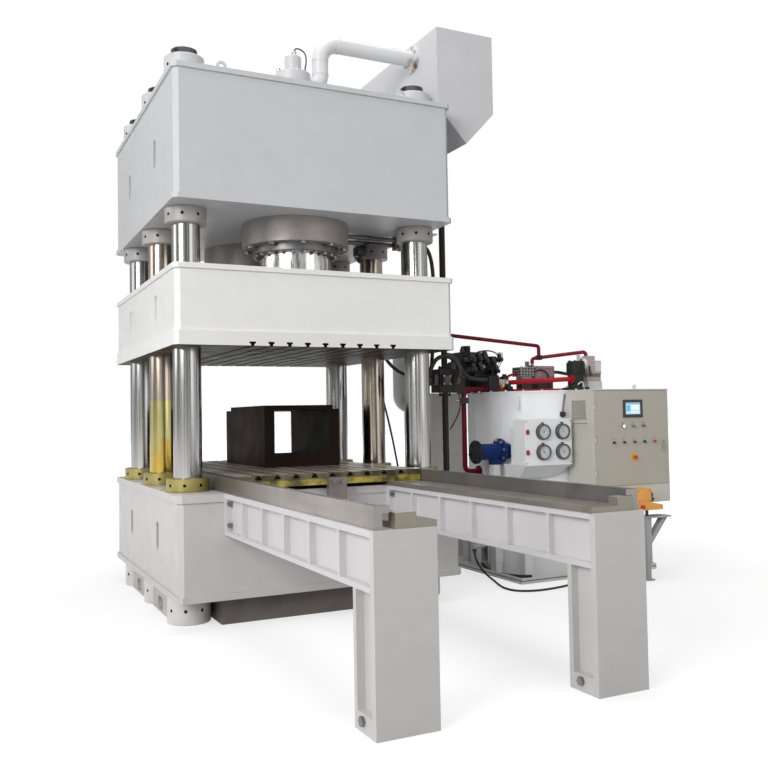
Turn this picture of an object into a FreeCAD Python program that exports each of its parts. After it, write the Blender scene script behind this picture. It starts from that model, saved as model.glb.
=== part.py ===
import FreeCAD, Part
import math
import os

# Hydraulic press with six columns, two main cylinders in a row, a moving
# table that runs out to the front on two arms, and its power unit and
# controls at the right. Millimetres. X runs to the right along the front, Y
# to the back, Z up. The origin lies on the floor, in the middle of the six
# columns, under the plinth.

os.makedirs("parts", exist_ok=True)

# ------------------------------------------------------------------ sizes

# Fits and play
RUNNING_FIT = 0.08              # radial, columns in bores and rams in rings
OPEN_PLAY = 0.4                 # between parts that pass each other freely
BOLT_PLAY = 0.5                 # radial, a bolt in its hole
PAST = 1                        # how far a cutter runs past a face

# Columns and their round nuts
COLUMN_X = 1017                 # middle of the press to each row
COLUMN_PITCH = 909              # along a row, front to back
COLUMN_DIA = 220
COLUMN_END_DIA = 204            # threaded end above the top nut
COLUMN_END_RISE = 62
COLUMN_FOOT_GAP = 18            # from the floor to the column's lower end
TOP_NUT_DIA = 312
TOP_NUT_HEIGHT = 165
UPPER_NUT_DIA = 324
UPPER_NUT_HEIGHT = 125
LOWER_NUT_DIA = 330
LOWER_NUT_HEIGHT = 103
FOOT_NUT_DIA = 330
NUT_CHAMFER = 5
SPANNER_HOLE_DIA = 26
SPANNER_HOLE_DEPTH = 28
SPANNER_HOLES = 8

# The three beams: base, slide and crown
BEAM_HALF_WIDTH = 1198
BASE_HALF_DEPTH = 1325
BEAM_HALF_DEPTH = 1280          # slide and crown
PLATE_LIP = 15                  # plates stand proud of the walls
CORNER_CHAMFER = 36
FOOT_HEIGHT = 213               # floor to the underside of the base
BASE_HEIGHT = 787
BASE_BOTTOM_PLATE = 49
BASE_TOP_PLATE = 59
SLIDE_GAP = 1110                # base top to slide underside, at rest
SLIDE_HEIGHT = 613
SLIDE_TOP_PLATE = 39
SLOT_PLATE_HEIGHT = 111         # the slide's lower plate
CROWN_GAP = 1095                # slide underside to crown underside, at rest
CROWN_HEIGHT = 1030
CROWN_PLATE = 40

# Obround access slots in the sides of the beams
SIDE_SLOT_Y = 560
SIDE_SLOT_WIDTH = 96
SIDE_SLOT_HEIGHT = 228
SIDE_SLOT_DEPTH = 130
BASE_SLOT_RISE = 25             # above the middle of the base's wall

# Plinth under the base
PLINTH_HALF_WIDTH = 831
PLINTH_HALF_DEPTH = 1165
SKIRT_X = 1142                  # outer face of the blocks between the feet
SKIRT_GAP = 4                   # from a skirt block to a foot nut
SKIRT_HOLE_WIDTH = 195
SKIRT_HOLE_HEIGHT = 102
SKIRT_HOLE_Z = 72
SKIRT_HOLE_DEPTH = 90

# Main cylinders, in tandem
CYLINDER_Y = 630
CYLINDER_FLANGE_DIA = 912
CYLINDER_FLANGE_HEIGHT = 205
CYLINDER_BARREL_DIA = 760
CYLINDER_HEAD_DIA = 640
CYLINDER_HEAD_HEIGHT = 90       # above the crown
CYLINDER_END_WALL = 80
CYLINDER_PORT_DIA = 160
GLAND_DIA = 738
GLAND_HEIGHT = 65
RAM_DIA = 600
RAM_ENGAGEMENT = 150            # ram left in the cylinder when fully down
SLIDE_STROKE_DOWN = 400
FLANGE_BOLTS = 10
FLANGE_BOLT_CIRCLE = 830
FLANGE_BOLT_TURN = 6            # degrees
FLANGE_BOLT_AF = 46
GLAND_BOLTS = 22
GLAND_BOLT_CIRCLE = 682
GLAND_BOLT_AF = 36
BOLT_SHANK_SHARE = 0.66         # of a hexagon bolt's size across flats
BOLT_HEAD_SHARE = 0.42
BOLT_THREAD_SHARE = 0.9

# Prefill valves, tank and suction pipes above the crown
VALVE_DIA = 304
VALVE_HEIGHT = 210
VALVE_CAP_DIA = 142
VALVE_CAP_HEIGHT = 158
VALVE_FLAT_SHARE = 0.88         # of the valve's radius, where its side is cut flat
TANK_LEFT = 1190
TANK_WIDTH = 580
TANK_HALF_DEPTH = 1070
TANK_TOP_RISE = 765             # crown top to tank top
TANK_SIDE_HEIGHT = 712          # straight part, above the V
TANK_V_DEPTH = 303
TANK_BRACKET_Y = 700
TANK_BRACKET_THICKNESS = 30
TANK_BRACKET_DROP = 435         # crown top to the bracket's lower corner
TANK_TIP_GAP = 40               # the V's tip to the brackets' lower edge
SUCTION_PIPE_DIA = 140
SUCTION_PIPE_WALL = 6
SUCTION_BENDS = (118, 170)      # at the foot and at the top of the riser
SUCTION_RISER_X = 255
SUCTION_INLET_RISE = 130        # crown head top to the valve's side port
SUCTION_RUN_RISE = 541          # crown head top to the level run
SUCTION_FLANGE_DIA = 245
SUCTION_FLANGE_THICKNESS = 30

# Lifting eyes
EYE_X = 785
EYE_Y = 1150
EYE_HEIGHT = 98
EYE_RING_DIA = 80
EYE_HOLE_DIA = 44
EYE_THICKNESS = 20
EYE_BASE_DIA = 66
EYE_BASE_HEIGHT = 16
EYE_NECK_DIA = 26
SMALL_EYE_SCALE = 0.5           # the cabinet's eye, next to the crown's
SMALL_EYE_INSET = 670           # from the cabinet's left side

# T-slots of the table and the slide
T_SLOT_PITCH = 150
T_SLOTS = 9
T_NECK_WIDTH = 28
T_NECK_DEPTH = 15
T_WIDTH = 50
T_DEPTH = 17

# Moving table
TABLE_HALF_WIDTH = 775
TABLE_OVERHANG = 57             # in front of the base
TABLE_THICKNESS = 90
TRACK_THICKNESS = 32
TRACK_INNER_X = 484
TRACK_OUTER_X = 720
GUIDE_GAP = 6                   # from the table to the guide bars
GUIDE_BAR_WIDTH = 45
GUIDE_BAR_HEIGHT = 117
GUIDE_END_GAP = 27              # bar end to the front of the leg plates
GUIDE_LIP_LENGTH = 55
GUIDE_LIP_WIDTH = 39
GUIDE_LIP_HEIGHT = 35
STOP_LENGTH = 75
STOP_HEIGHT = 80
STOP_PLAY = 28                  # from a stop to the table when it is fully out
STOP_END_GAP = 15               # a stop's front to the front of the leg plates
LEFT_STOP_INNER = 602
LEFT_STOP_OUTER = 717
RIGHT_STOP_INNER = 668
RIGHT_STOP_OUTER = 778

# Pull bracket under the table's front edge
BRACKET_LEFT = -50
BRACKET_WIDTH = 145
BRACKET_THICKNESS = 58
BRACKET_HEIGHT = 183
BRACKET_TOP_GAP = 2             # under the floor of the T-slots
BRACKET_BOLT_DIA = 38
BRACKET_BOLT_LENGTH = 22
BRACKET_BOLT_INSET = 34

# Box that stands on the table
BOX_LEFT = -217
BOX_WIDTH = 707
BOX_FRONT = -379
BOX_DEPTH = 1192
BOX_HEIGHT = 510
BOX_FRONT_WALL = 45             # the wall with the window in it
BOX_SIDE_WALL = 29
BOX_FLOOR = 30
BOX_ROOF = 12
WINDOW_MARGIN = 92              # from the box's sides to the window
WINDOW_SILL = 125
BOX_CAP_HEIGHT = 34
BOX_CAP_INSET_RIGHT = 62
BOX_CAP_INSET_REAR = 160

# Arms and legs in front
ARM_INNER_X = 493
ARM_WIDTH = 352
ARM_HEIGHT = 305
ARM_TOP_FLANGE = 35
ARM_BOTTOM_FLANGE = 30
ARM_WEB_INSET = 45
ARM_RIBS = 5
ARM_RIB_PITCH = 429
ARM_RIB_THICKNESS = 26
ARM_REACH = 2575                # base front to the front of the leg plates
ROOT_PLATE_THICKNESS = 45
ROOT_BOLT_AF = 36
ROOT_BOLT_SHANK = 24
ROOT_BOLT_HEAD = 20
ROOT_BOLT_DROP_HIGH = 73        # below the arm's top
ROOT_BOLT_DROP_LOW = 231
LEG_PLATE_THICKNESS = 45
LEG_DEPTH = 250
LEG_REAR_FLANGE = 35
LEG_CAP_HEIGHT = 95
LEG_BOLT_Z = 60
LEG_BOLT_AF = 46
LEG_BOLT_HEAD = 18

# Power unit: tray, oil tank and what stands on them
TRAY_LEFT_MARGIN = 90           # from the tank's wall to the tray's edges
TRAY_RIGHT_MARGIN = 115
TRAY_FRONT_MARGIN = 130
TRAY_DEPTH = 2030
TRAY_HEIGHT = 55
TRAY_FLOOR = 10
TRAY_WALL = 8
OIL_TANK_X = 2785
OIL_TANK_Y = -200
OIL_TANK_DIA = 1400
OIL_TANK_TOP = 1775
OIL_TANK_RIM = 12
OIL_TANK_RIM_HEIGHT = 14
TANK_FOOT_SIZE = 95
TANK_FOOT_HEIGHT = 300
TANK_FOOT_STANDOFF = 38         # the middle of a foot outside the tank's wall
TERMINAL_BOX_LEFT = 1976
TERMINAL_BOX_Y = -440
TERMINAL_BOX_DEPTH = 120
TERMINAL_BOX_Z = 123
TERMINAL_BOX_HEIGHT = 168
CONDUIT_DIA = 38                # also the glands that hold the floor cable
CONDUIT_RISE = 22               # above the cable's end

# Gauge panel in front of the tank
PANEL_LEFT = 2050
PANEL_WIDTH = 531
PANEL_STANDOFF = 150            # panel front to the tank's front
PANEL_DEPTH = 190
PANEL_Z = 1080
PANEL_HEIGHT = 422
PANEL_ARM_INSET = 90
PANEL_ARM_REACH = 360           # panel front to the arm's end in the tank's wall
PANEL_SHELF_DROP = 130
PANEL_SHELF_TAPER = 64
GAUGE_INSET_X = 199             # panel's left side to the first gauges
GAUGE_PITCH_X = 220
GAUGE_INSET_Z = 116
GAUGE_PITCH_Z = 188
GAUGE_DIA = 138
GAUGE_DEPTH = 34
GAUGE_RIM = 9
GAUGE_DIAL_DEPTH = 12           # dial face below the rim's edge
NEEDLE_LENGTH = 48
NEEDLE_TAIL = 14
NEEDLE_WIDTH = 5
NEEDLE_THICKNESS = 2
NEEDLE_HUB_DIA = 14
NEEDLE_SPINDLE_DIA = 4
NEEDLE_SPINDLE_LENGTH = 8
NEEDLE_TURNS = (-35, -20, 40, -40)      # degrees from upright
PANEL_LAMP_INSET = 28
PANEL_LAMP_WIDTH = 32
PANEL_LAMP_HEIGHT = 48
PANEL_LAMP_DEPTH = 12

# Return filter at the left of the tank
FILTER_Y = -550
FILTER_Z = 1195
FILTER_DIA = 155
FILTER_CAP_DIA = 225
FILTER_FLANGE_DIA = 250
FILTER_LEFT = 1822
FILTER_CAP_LENGTH = 20
FILTER_BODY_LENGTH = 246
FILTER_FLANGE_LENGTH = 26
FILTER_SADDLE_WIDTH = 72
FILTER_SADDLE_DEPTH = 90

# Valve stand and manifold
STAND_GAP = 7                   # from the tray's left wall
STAND_WIDTH = 440
STAND_FRONT = 620
STAND_DEPTH = 280
STAND_TOP = 1795
MANIFOLD_Y = 160
MANIFOLD_DEPTH = 230
MANIFOLD_LEFT = 2140
MANIFOLD_WIDTH = 420
MANIFOLD_LOW_HEIGHT = 170
MANIFOLD_TOWER_LEFT = 2060
MANIFOLD_TOWER_WIDTH = 240
MANIFOLD_TOWER_HEIGHT = 430
MANIFOLD_SIDE_WIDTH = 190
MANIFOLD_SIDE_HEIGHT = 390
MANIFOLD_CAP_DIA = 90
MANIFOLD_CAP_HEIGHT = 70
FRONT_BLOCK_LEFT = 2180         # the lower block in front, with the pipe unions
FRONT_BLOCK_WIDTH = 120
FRONT_BLOCK_REACH = 315         # in front of the manifold's face
FEED_UNION_DIA = 62
FEED_UNION_LENGTH = 100
SOLENOID_DIA = 76
SOLENOID_LENGTH = 90
SOLENOID_LEVELS = (0.38, 0.68)   # shares of the tower's height

# Motor, pump and pilot unit on the tank
MOTOR_Y = -100
MOTOR_LEFT = 2815
MOTOR_WIDTH = 231
MOTOR_DEPTH = 190
MOTOR_RISE = 146                # tank top to the motor's underside
MOTOR_HEIGHT = 132
MOTOR_FOOT_WIDTH = 36
MOTOR_FOOT_INSET = 20
MOTOR_PORT_X = 2833
MOTOR_PORT_DIA = 34
MOTOR_PORT_HEIGHT = 30
VALVE_BLOCK_WIDTH = 182         # the perforated block at the motor's left
VALVE_BLOCK_DEPTH = 160
VALVE_BLOCK_RISE = 171
VALVE_BLOCK_HEIGHT = 95
VALVE_BLOCK_FOOT_INSET = 28
VALVE_KNOB_DIA = 45
VALVE_KNOB_HEIGHT = 62
VALVE_KNOB_INSET = 47           # from the motor's left side
PUMP_X = 3038
PUMP_Y = -560
PUMP_DIA = 164
PUMP_HEIGHT = 305
PUMP_BASE_SIZE = 190
PUMP_BASE_HEIGHT = 40
PUMP_KNOB_DIA = 38
PUMP_KNOB_HEIGHT = 66
PUMP_KNOB_OFFSET = 40           # right of the pump's middle
PUMP_PORT_REACH = 94            # the port block's left face, from the pump's middle
PUMP_PORT_OFFSET = 50           # in front of the pump's middle
PUMP_PORT_SIZE = 80
PILOT_Y = -400
PILOT_LEFT = 3246
PILOT_WIDTH = 184
PILOT_BASE_HEIGHT = 104
PILOT_BODY_HEIGHT = 80
PILOT_MOTOR_HEIGHT = 136
PILOT_DEPTH = 190
PILOT_BODY_DEPTH = 152
PILOT_MOTOR_DEPTH = 171
PILOT_VALVE_WIDTH = 100
PILOT_VALVE_REACH = 90          # in front of the unit's middle
PILOT_VALVE_HEIGHT = 50

# Pipes of the unit
RED_PIPE_DIA = 38
FEED_PIPE_DIA = 48
RETURN_PIPE_DIA = 50
PIPE_WALL = 5
THIN_PIPE_BEND = 60
TIGHT_PIPE_BEND = 30
CROWN_PORT_X = 1262
CROWN_PORT_Y = -210
CROWN_PORT_RISE = 125           # above the crown's underside
PRESSURE_RUN_LOW = 2385         # at the crown's side
PRESSURE_RUN_END_X = 2920
PRESSURE_RUN_END_Z = 2271
TEE_Z = 2147                    # where the pressure pipe meets the pilot pipe
PILOT_RUN_Z = 2134
PILOT_RUN_END_X = 3270
PILOT_RUN_END_Y = -440
PILOT_RUN_END_Z = 2190
FEED_Y = -200
FEED_Z = 1878
FEED_END_Z = 1895
FEED_STRAIGHT = 60              # straight pipe at each end of the feed
RETURN_Y = -200
RETURN_X = 1922
RETURN_Z = 1810
RETURN_LOW_Z = 990

# Drain pipe from the prefill tank
DRAIN_DIA = 58
DRAIN_X = 1475
DRAIN_Y = -600
DRAIN_TURN_Y = -260
DRAIN_LOW_Z = 940
DRAIN_BEND = 120
DRAIN_VALVE_LEFT = 1377
DRAIN_VALVE_WIDTH = 268
DRAIN_VALVE_DEPTH = 170
DRAIN_VALVE_Z = 1765
DRAIN_VALVE_HEIGHT = 217

# Accumulator with its post and hand wheel
ACCUMULATOR_X = 2037
ACCUMULATOR_DIA = 392
ACCUMULATOR_Z = 1588
ACCUMULATOR_HEIGHT = 1030
ACCUMULATOR_NECK_DIA = 90
ACCUMULATOR_NECK_HEIGHT = 80
POST_SIZE = 110
POST_FOOT_SIZE = 320
POST_FOOT_THICKNESS = 16
HAND_WHEEL_Z = 1195
HAND_WHEEL_DIA = 130
HAND_WHEEL_THICKNESS = 16
HAND_WHEEL_HUB_DIA = 34
HAND_WHEEL_HUB_LENGTH = 60
HAND_WHEEL_HOLE_DIA = 26
HAND_WHEEL_HOLES = 5
HAND_WHEEL_HOLE_CIRCLE = 80.6

# Control cabinet
CABINET_LEFT = 2641
CABINET_WIDTH = 907
CABINET_DEPTH = 385
CABINET_GAP = 3                 # behind it, to the oil tank's rim
CABINET_Z = 692
CABINET_HEIGHT = 1079
CABINET_WALL = 6
CABINET_FRAME = 38              # front frame round the door's opening
CABINET_STAND_LEFT = 2760
CABINET_STAND_WIDTH = 300
CABINET_STAND_DEPTH = 100
DOOR_MARGIN = 14                # from the cabinet's edges to the door
DOOR_LOW_STRIP = 176            # fixed strip under the door
DOOR_GAP = 3
DOOR_THICKNESS = 20
DOOR_SHEET = 3
DOOR_SEAT_GAP = 1               # behind the closed door's flanges
DOOR_FLANGE = 12
HINGE_KNUCKLE_DIA = 14
HINGE_KNUCKLE_HEIGHT = 32
HINGE_STANDOFF = 7.5            # hinge line in front of the cabinet's face
HINGE_LEAF = 14
HINGE_PIN_DIA = 8
HINGE_PIN_LENGTH = 24
HINGE_ENDS = 140                # from the door's ends to the outer hinges
HANDLE_X = 3468
HANDLE_Z = 1231
HANDLE_PLATE_WIDTH = 30
HANDLE_PLATE_HEIGHT = 120
HANDLE_PLATE_DEPTH = 8
HANDLE_LENGTH = 96
HANDLE_WIDTH = 18
HANDLE_DEPTH = 16
HANDLE_SHAFT_DIA = 14.4
VENT_INSET = 96                 # behind the cabinet's front
VENT_DEPTH = 213
VENT_Z = 1486
VENT_HEIGHT = 186
VENT_RECESS = 3
SCREEN_LEFT = 2993
SCREEN_WIDTH = 232
SCREEN_Z = 1503
SCREEN_HEIGHT = 165
SCREEN_PROUD = 7
SCREEN_BACK = 34
LAMP_Z = 1421
LAMP_X = 2986
LAMP_PITCH = 122.5
SIGNAL_LAMPS = 3
LAMP_DIA = 34
LAMP_DEPTH = 16
CONTROL_Z = 1271
CONTROL_X = 2870
CONTROL_PITCH = 123.75
CONTROLS = 5
CONTROL_COLLAR_DIA = 34
CONTROL_COLLAR_DEPTH = 8
CONTROL_STEM_DIA = 22
CONTROL_STEM_LENGTH = 30        # from the collar's face inwards
SELECTOR_KNOB_WIDTH = 11
SELECTOR_KNOB_DEPTH = 20
BUTTON_DIA = 27
BUTTON_DEPTH = 9
BUTTON_TRAVEL = 5
STOP_X = 3114
STOP_Z = 1128
STOP_PLATE_SIZE = 66
STOP_PLATE_DEPTH = 4
MUSHROOM_DIA = 40
MUSHROOM_DEPTH = 16
MUSHROOM_NECK_DEPTH = 16
MUSHROOM_FILLET = 7.2

# Two-hand console on its stand
CONSOLE_GAP = 75                # behind it, to the cabinet's front
CONSOLE_LEFT = 2940
CONSOLE_WIDTH = 301
CONSOLE_DEPTH = 150
CONSOLE_Z = 650
CONSOLE_BASE_HEIGHT = 73
TURRET_WIDTH = 163
TURRET_HEIGHT = 127
CONSOLE_SLOPE = 28
STAND_POST_LEFT = 3083
STAND_POST_WIDTH = 56
STAND_PLATE_WIDTH = 256
STAND_PLATE_THICKNESS = 14
STAND_PLATE_Z = 576
STAND_BRACE_Z = 336
STAND_BRACE_THICKNESS = 30
STAND_SLEEVE_END = 155          # the post's thinner lower tube starts here
STAND_TUBE_WIDTH = 38
STAND_FOOT_WIDTH = 84
STAND_FOOT_THICKNESS = 12
STEM_DIA = 30
PALM_DIA = 58
PALM_DEPTH = 18
PALM_FILLET = 7.2
PALM_NECK_DIA = 26
PALM_NECK_LENGTH = 16
PALM_NECK_ENGAGEMENT = 16       # of the neck inside the turret
PALM_Z = 790
PALM_INSET = 40                 # behind the console's front
CONSOLE_STOP_X = 2986
CONSOLE_STOP_Z = 686
BUTTON_STEM = 24                # inside the console
BUTTON_HOLE_SPARE = 2           # the holes run deeper by this

# Cable on the floor, from the terminal box to the cabinet's underside
CABLE_DIA = 20
ARC_SHARE = 0.45                # of the shorter run, that a bend's arc takes up
CABLE_ROUTE = [
    (1855, -450, 262), (1855, -450, 180), (1880, -520, 80), (1885, -640, 26),
    (1850, -800, 11), (1786, -960, 11), (1738, -1120, 11), (1748, -1270, 11),
    (1860, -1352, 11), (2030, -1368, 11), (2230, -1330, 11), (2440, -1268, 11),
    (2620, -1220, 24), (2770, -1196, 90), (2838, -1190, 250), (2843, -1188, 430),
    (2850, -1190, 560), (2850, -1190, 670)]

# ------------------------------------------------- places that follow

BASE_BOTTOM = FOOT_HEIGHT
BASE_TOP = BASE_BOTTOM + BASE_HEIGHT
SLIDE_BOTTOM = BASE_TOP + SLIDE_GAP
SLIDE_TOP = SLIDE_BOTTOM + SLIDE_HEIGHT
CROWN_BOTTOM = SLIDE_BOTTOM + CROWN_GAP
CROWN_TOP = CROWN_BOTTOM + CROWN_HEIGHT
COLUMN_BORE = COLUMN_DIA / 2 + RUNNING_FIT
COLUMN_PLACES = [(side * COLUMN_X, row * COLUMN_PITCH)
                 for side in (-1, 1) for row in (-1, 0, 1)]
FLANGE_BOTTOM = CROWN_BOTTOM - CYLINDER_FLANGE_HEIGHT
GLAND_BOTTOM = FLANGE_BOTTOM - GLAND_HEIGHT
HEAD_TOP = CROWN_TOP + CYLINDER_HEAD_HEIGHT
BASE_FRONT = -BASE_HALF_DEPTH
TABLE_FRONT = BASE_FRONT - TABLE_OVERHANG
TRACK_TOP = BASE_TOP + TRACK_THICKNESS
TABLE_TOP = TRACK_TOP + TABLE_THICKNESS
LEG_FRONT = BASE_FRONT - ARM_REACH
LEG_BACK = LEG_FRONT + LEG_DEPTH
STOP_FRONT = LEG_FRONT + STOP_END_GAP
TABLE_TRAVEL = TABLE_FRONT - STOP_FRONT - STOP_LENGTH - STOP_PLAY
ARM_FRONT = LEG_FRONT + LEG_PLATE_THICKNESS
ARM_BOTTOM = BASE_TOP - ARM_HEIGHT
ARM_OUTER_X = ARM_INNER_X + ARM_WIDTH
OIL_TANK_BOTTOM = TRAY_FLOOR
OIL_TANK_FRONT = OIL_TANK_Y - OIL_TANK_DIA / 2
TRAY_LEFT = OIL_TANK_X - OIL_TANK_DIA / 2 - TRAY_LEFT_MARGIN
TRAY_RIGHT = OIL_TANK_X + OIL_TANK_DIA / 2 + TRAY_RIGHT_MARGIN
TRAY_FRONT = OIL_TANK_FRONT - TRAY_FRONT_MARGIN
TRAY_BACK = TRAY_FRONT + TRAY_DEPTH
PANEL_FRONT = OIL_TANK_FRONT - PANEL_STANDOFF
PANEL_ARM_END = PANEL_FRONT + PANEL_ARM_REACH
GAUGE_X = PANEL_LEFT + GAUGE_INSET_X
GAUGE_Z = PANEL_Z + GAUGE_INSET_Z
PANEL_LAMP_X = PANEL_LEFT + PANEL_LAMP_INSET
FILTER_SADDLE_LEFT = TRAY_LEFT + TRAY_WALL
STAND_LEFT = FILTER_SADDLE_LEFT + STAND_GAP
ACCUMULATOR_Y = TRAY_BACK + POST_FOOT_SIZE / 2
CABINET_BACK = OIL_TANK_FRONT - OIL_TANK_RIM - CABINET_GAP
CABINET_FRONT = CABINET_BACK - CABINET_DEPTH
VENT_Y = CABINET_FRONT + VENT_INSET
CABINET_RIGHT = CABINET_LEFT + CABINET_WIDTH
CABINET_TOP = CABINET_Z + CABINET_HEIGHT
DOOR_LEFT = CABINET_LEFT + DOOR_MARGIN
DOOR_RIGHT = CABINET_RIGHT - DOOR_MARGIN
DOOR_BOTTOM = CABINET_Z + DOOR_LOW_STRIP
DOOR_TOP = CABINET_TOP - DOOR_MARGIN
HINGE_X = DOOR_LEFT - DOOR_GAP / 2
HINGE_Y = CABINET_FRONT - HINGE_STANDOFF
HINGE_HEIGHTS = (DOOR_BOTTOM + HINGE_ENDS, (DOOR_BOTTOM + DOOR_TOP) / 2,
                 DOOR_TOP - HINGE_ENDS)
CONSOLE_Y = CABINET_FRONT - CONSOLE_GAP - CONSOLE_DEPTH / 2
CONSOLE_FRONT = CONSOLE_Y - CONSOLE_DEPTH / 2
PALM_Y = CONSOLE_FRONT + PALM_INSET
CONSOLE_BASE_TOP = CONSOLE_Z + CONSOLE_BASE_HEIGHT
TURRET_TOP = CONSOLE_BASE_TOP + TURRET_HEIGHT

V = FreeCAD.Vector
X_AXIS = V(1, 0, 0)
Y_AXIS = V(0, 1, 0)
Z_AXIS = V(0, 0, 1)

# ------------------------------------------------------- building blocks


def save(name, solids):
    """Write one sub-part; a list of separate solids shares one file."""
    if isinstance(solids, (list, tuple)):
        shape = Part.makeCompound(list(solids))
    else:
        shape = solids
    shape.exportStep("parts/" + name + ".step")
    print(name, len(shape.Solids), "solid(s), valid", shape.isValid())


def box(x0, x1, y0, y1, z0, z1):
    low = V(min(x0, x1), min(y0, y1), min(z0, z1))
    return Part.makeBox(abs(x1 - x0), abs(y1 - y0), abs(z1 - z0), low)


def rod(dia, length, start, axis):
    return Part.makeCylinder(dia / 2, length, V(*start), axis)


def upright(dia, x, y, z0, z1):
    return rod(dia, z1 - z0, (x, y, z0), Z_AXIS)


def joined(first, *others):
    """One solid from pieces that touch or overlap."""
    return first.fuse(list(others)).removeSplitter()


def without(shape, cutters):
    return shape.cut(Part.makeCompound(cutters))


def placed(shape, x, y, z=0):
    copy = shape.copy()
    copy.translate(V(x, y, z))
    return copy


def mirrored(shape):
    """The same piece on the other side of the press."""
    return shape.mirror(V(0, 0, 0), X_AXIS)


def prism(points, direction):
    """A flat outline, given in space, pushed along a direction."""
    corners = [V(*point) for point in points]
    outline = Part.makePolygon(corners + corners[:1])
    return Part.Face(outline).extrude(direction)


def turned(profile, x, y):
    """A round about a vertical line, from (radius, height) corners."""
    corners = [V(radius, 0, height) for radius, height in profile]
    outline = Part.makePolygon(corners + corners[:1])
    solid = Part.Face(outline).revolve(V(0, 0, 0), Z_AXIS, 360)
    return placed(solid, x, y)


def hexagon(across_flats, height, start, axis):
    """A hexagon bar, from its seat along the axis."""
    corner = across_flats / math.sqrt(3)
    across = X_AXIS if abs(axis.x) < 0.5 else Y_AXIS
    other = axis.cross(across)
    points = []
    for k in range(6):
        turn = math.radians(60 * k)
        points.append(V(*start) + across * (corner * math.cos(turn))
                      + other * (corner * math.sin(turn)))
    outline = Part.makePolygon(points + points[:1])
    return Part.Face(outline).extrude(axis * height)


def chamfered_block(half_x, half_y, z0, z1):
    """A block with its four upright corners cut off."""
    cut = CORNER_CHAMFER
    points = [(half_x - cut, -half_y, z0), (half_x, cut - half_y, z0),
              (half_x, half_y - cut, z0), (half_x - cut, half_y, z0),
              (cut - half_x, half_y, z0), (-half_x, half_y - cut, z0),
              (-half_x, cut - half_y, z0), (cut - half_x, -half_y, z0)]
    return prism(points, Z_AXIS * (z1 - z0))


def side_obround(x_face, inward, y, z, width, height, depth):
    """A round-ended pocket in a wall that faces left or right."""
    radius = min(width, height) / 2
    reach_y = width / 2 - radius
    reach_z = height / 2 - radius
    axis = X_AXIS * inward
    start = x_face - inward
    deep = depth + PAST
    pieces = [rod(2 * radius, deep, (start, y + side * reach_y, z + side * reach_z), axis)
              for side in (-1, 1)]
    x_end = start + inward * deep
    if reach_z > 0:
        pieces.append(box(start, x_end, y - radius, y + radius, z - reach_z, z + reach_z))
    else:
        pieces.append(box(start, x_end, y - reach_y, y + reach_y, z - radius, z + radius))
    return joined(*pieces)


def column_bores(z0, z1):
    return [upright(2 * COLUMN_BORE, x, y, z0 - PAST, z1 + PAST) for x, y in COLUMN_PLACES]


def beam(half_depth, z0, z1, low_plate, top_plate, slot_z):
    """A welded beam: walls between two plates that stand slightly proud."""
    walls = chamfered_block(BEAM_HALF_WIDTH - PLATE_LIP, half_depth - PLATE_LIP, z0, z1)
    plates = [chamfered_block(BEAM_HALF_WIDTH, half_depth, z1 - top_plate, z1)]
    if low_plate:
        plates.append(chamfered_block(BEAM_HALF_WIDTH, half_depth, z0, z0 + low_plate))
    solid = joined(walls, *plates)
    wall_x = BEAM_HALF_WIDTH - PLATE_LIP
    slots = [side_obround(side * wall_x, -side, row * SIDE_SLOT_Y, slot_z,
                          SIDE_SLOT_WIDTH, SIDE_SLOT_HEIGHT, SIDE_SLOT_DEPTH)
             for side in (-1, 1) for row in (-1, 1)]
    return without(solid, column_bores(z0, z1) + slots)


def t_slots(y0, y1, face_z, inward):
    """T-slots from front to back, cut in from a level face."""
    cutters = []
    for k in range(T_SLOTS):
        x = (k - (T_SLOTS - 1) / 2) * T_SLOT_PITCH
        neck_end = face_z + inward * T_NECK_DEPTH
        foot_end = neck_end + inward * T_DEPTH
        neck = box(x - T_NECK_WIDTH / 2, x + T_NECK_WIDTH / 2, y0 - PAST, y1 + PAST,
                   face_z - inward, neck_end)
        foot = box(x - T_WIDTH / 2, x + T_WIDTH / 2, y0 - PAST, y1 + PAST, neck_end, foot_end)
        cutters.append(joined(neck, foot))
    return cutters


def round_nut(dia, height):
    """A round nut at the origin, with radial holes for a spanner."""
    outer = dia / 2
    ease = NUT_CHAMFER
    nut = turned([(COLUMN_BORE, 0), (outer - ease, 0), (outer, ease), (outer, height - ease),
                  (outer - ease, height), (COLUMN_BORE, height)], 0, 0)
    holes = []
    for k in range(SPANNER_HOLES):
        turn = 2 * math.pi * (k + 0.5) / SPANNER_HOLES
        outward = V(math.cos(turn), math.sin(turn), 0)
        start = outward * (outer - SPANNER_HOLE_DEPTH) + Z_AXIS * (height / 2)
        holes.append(Part.makeCylinder(SPANNER_HOLE_DIA / 2, SPANNER_HOLE_DEPTH + PAST,
                                       start, outward))
    return without(nut, holes)


def bent_path(points, bend):
    """Straight runs joined by tangent arcs; prints the arcs' radii."""
    points = [V(*point) for point in points]
    edges = []
    radii = []
    start = points[0]
    for k, (before, corner, after) in enumerate(zip(points, points[1:], points[2:])):
        run_in = (corner - before).normalize()
        run_out = (after - corner).normalize()
        turn = run_in.getAngle(run_out)
        if isinstance(bend, tuple):
            radius = bend[k]
        elif bend:
            radius = bend
        else:
            shorter = min((corner - before).Length, (after - corner).Length)
            radius = ARC_SHARE * shorter / math.tan(turn / 2)
        setback = radius * math.tan(turn / 2)
        arc_start = corner - run_in * setback
        arc_end = corner + run_out * setback
        inward = (run_out - run_in).normalize()
        middle = corner + inward * (radius / math.cos(turn / 2) - radius)
        edges.append(Part.LineSegment(start, arc_start).toShape())
        edges.append(Part.Arc(arc_start, middle, arc_end).toShape())
        radii.append(round(radius))
        start = arc_end
    edges.append(Part.LineSegment(start, points[-1]).toShape())
    return Part.Wire(edges), radii


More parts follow.
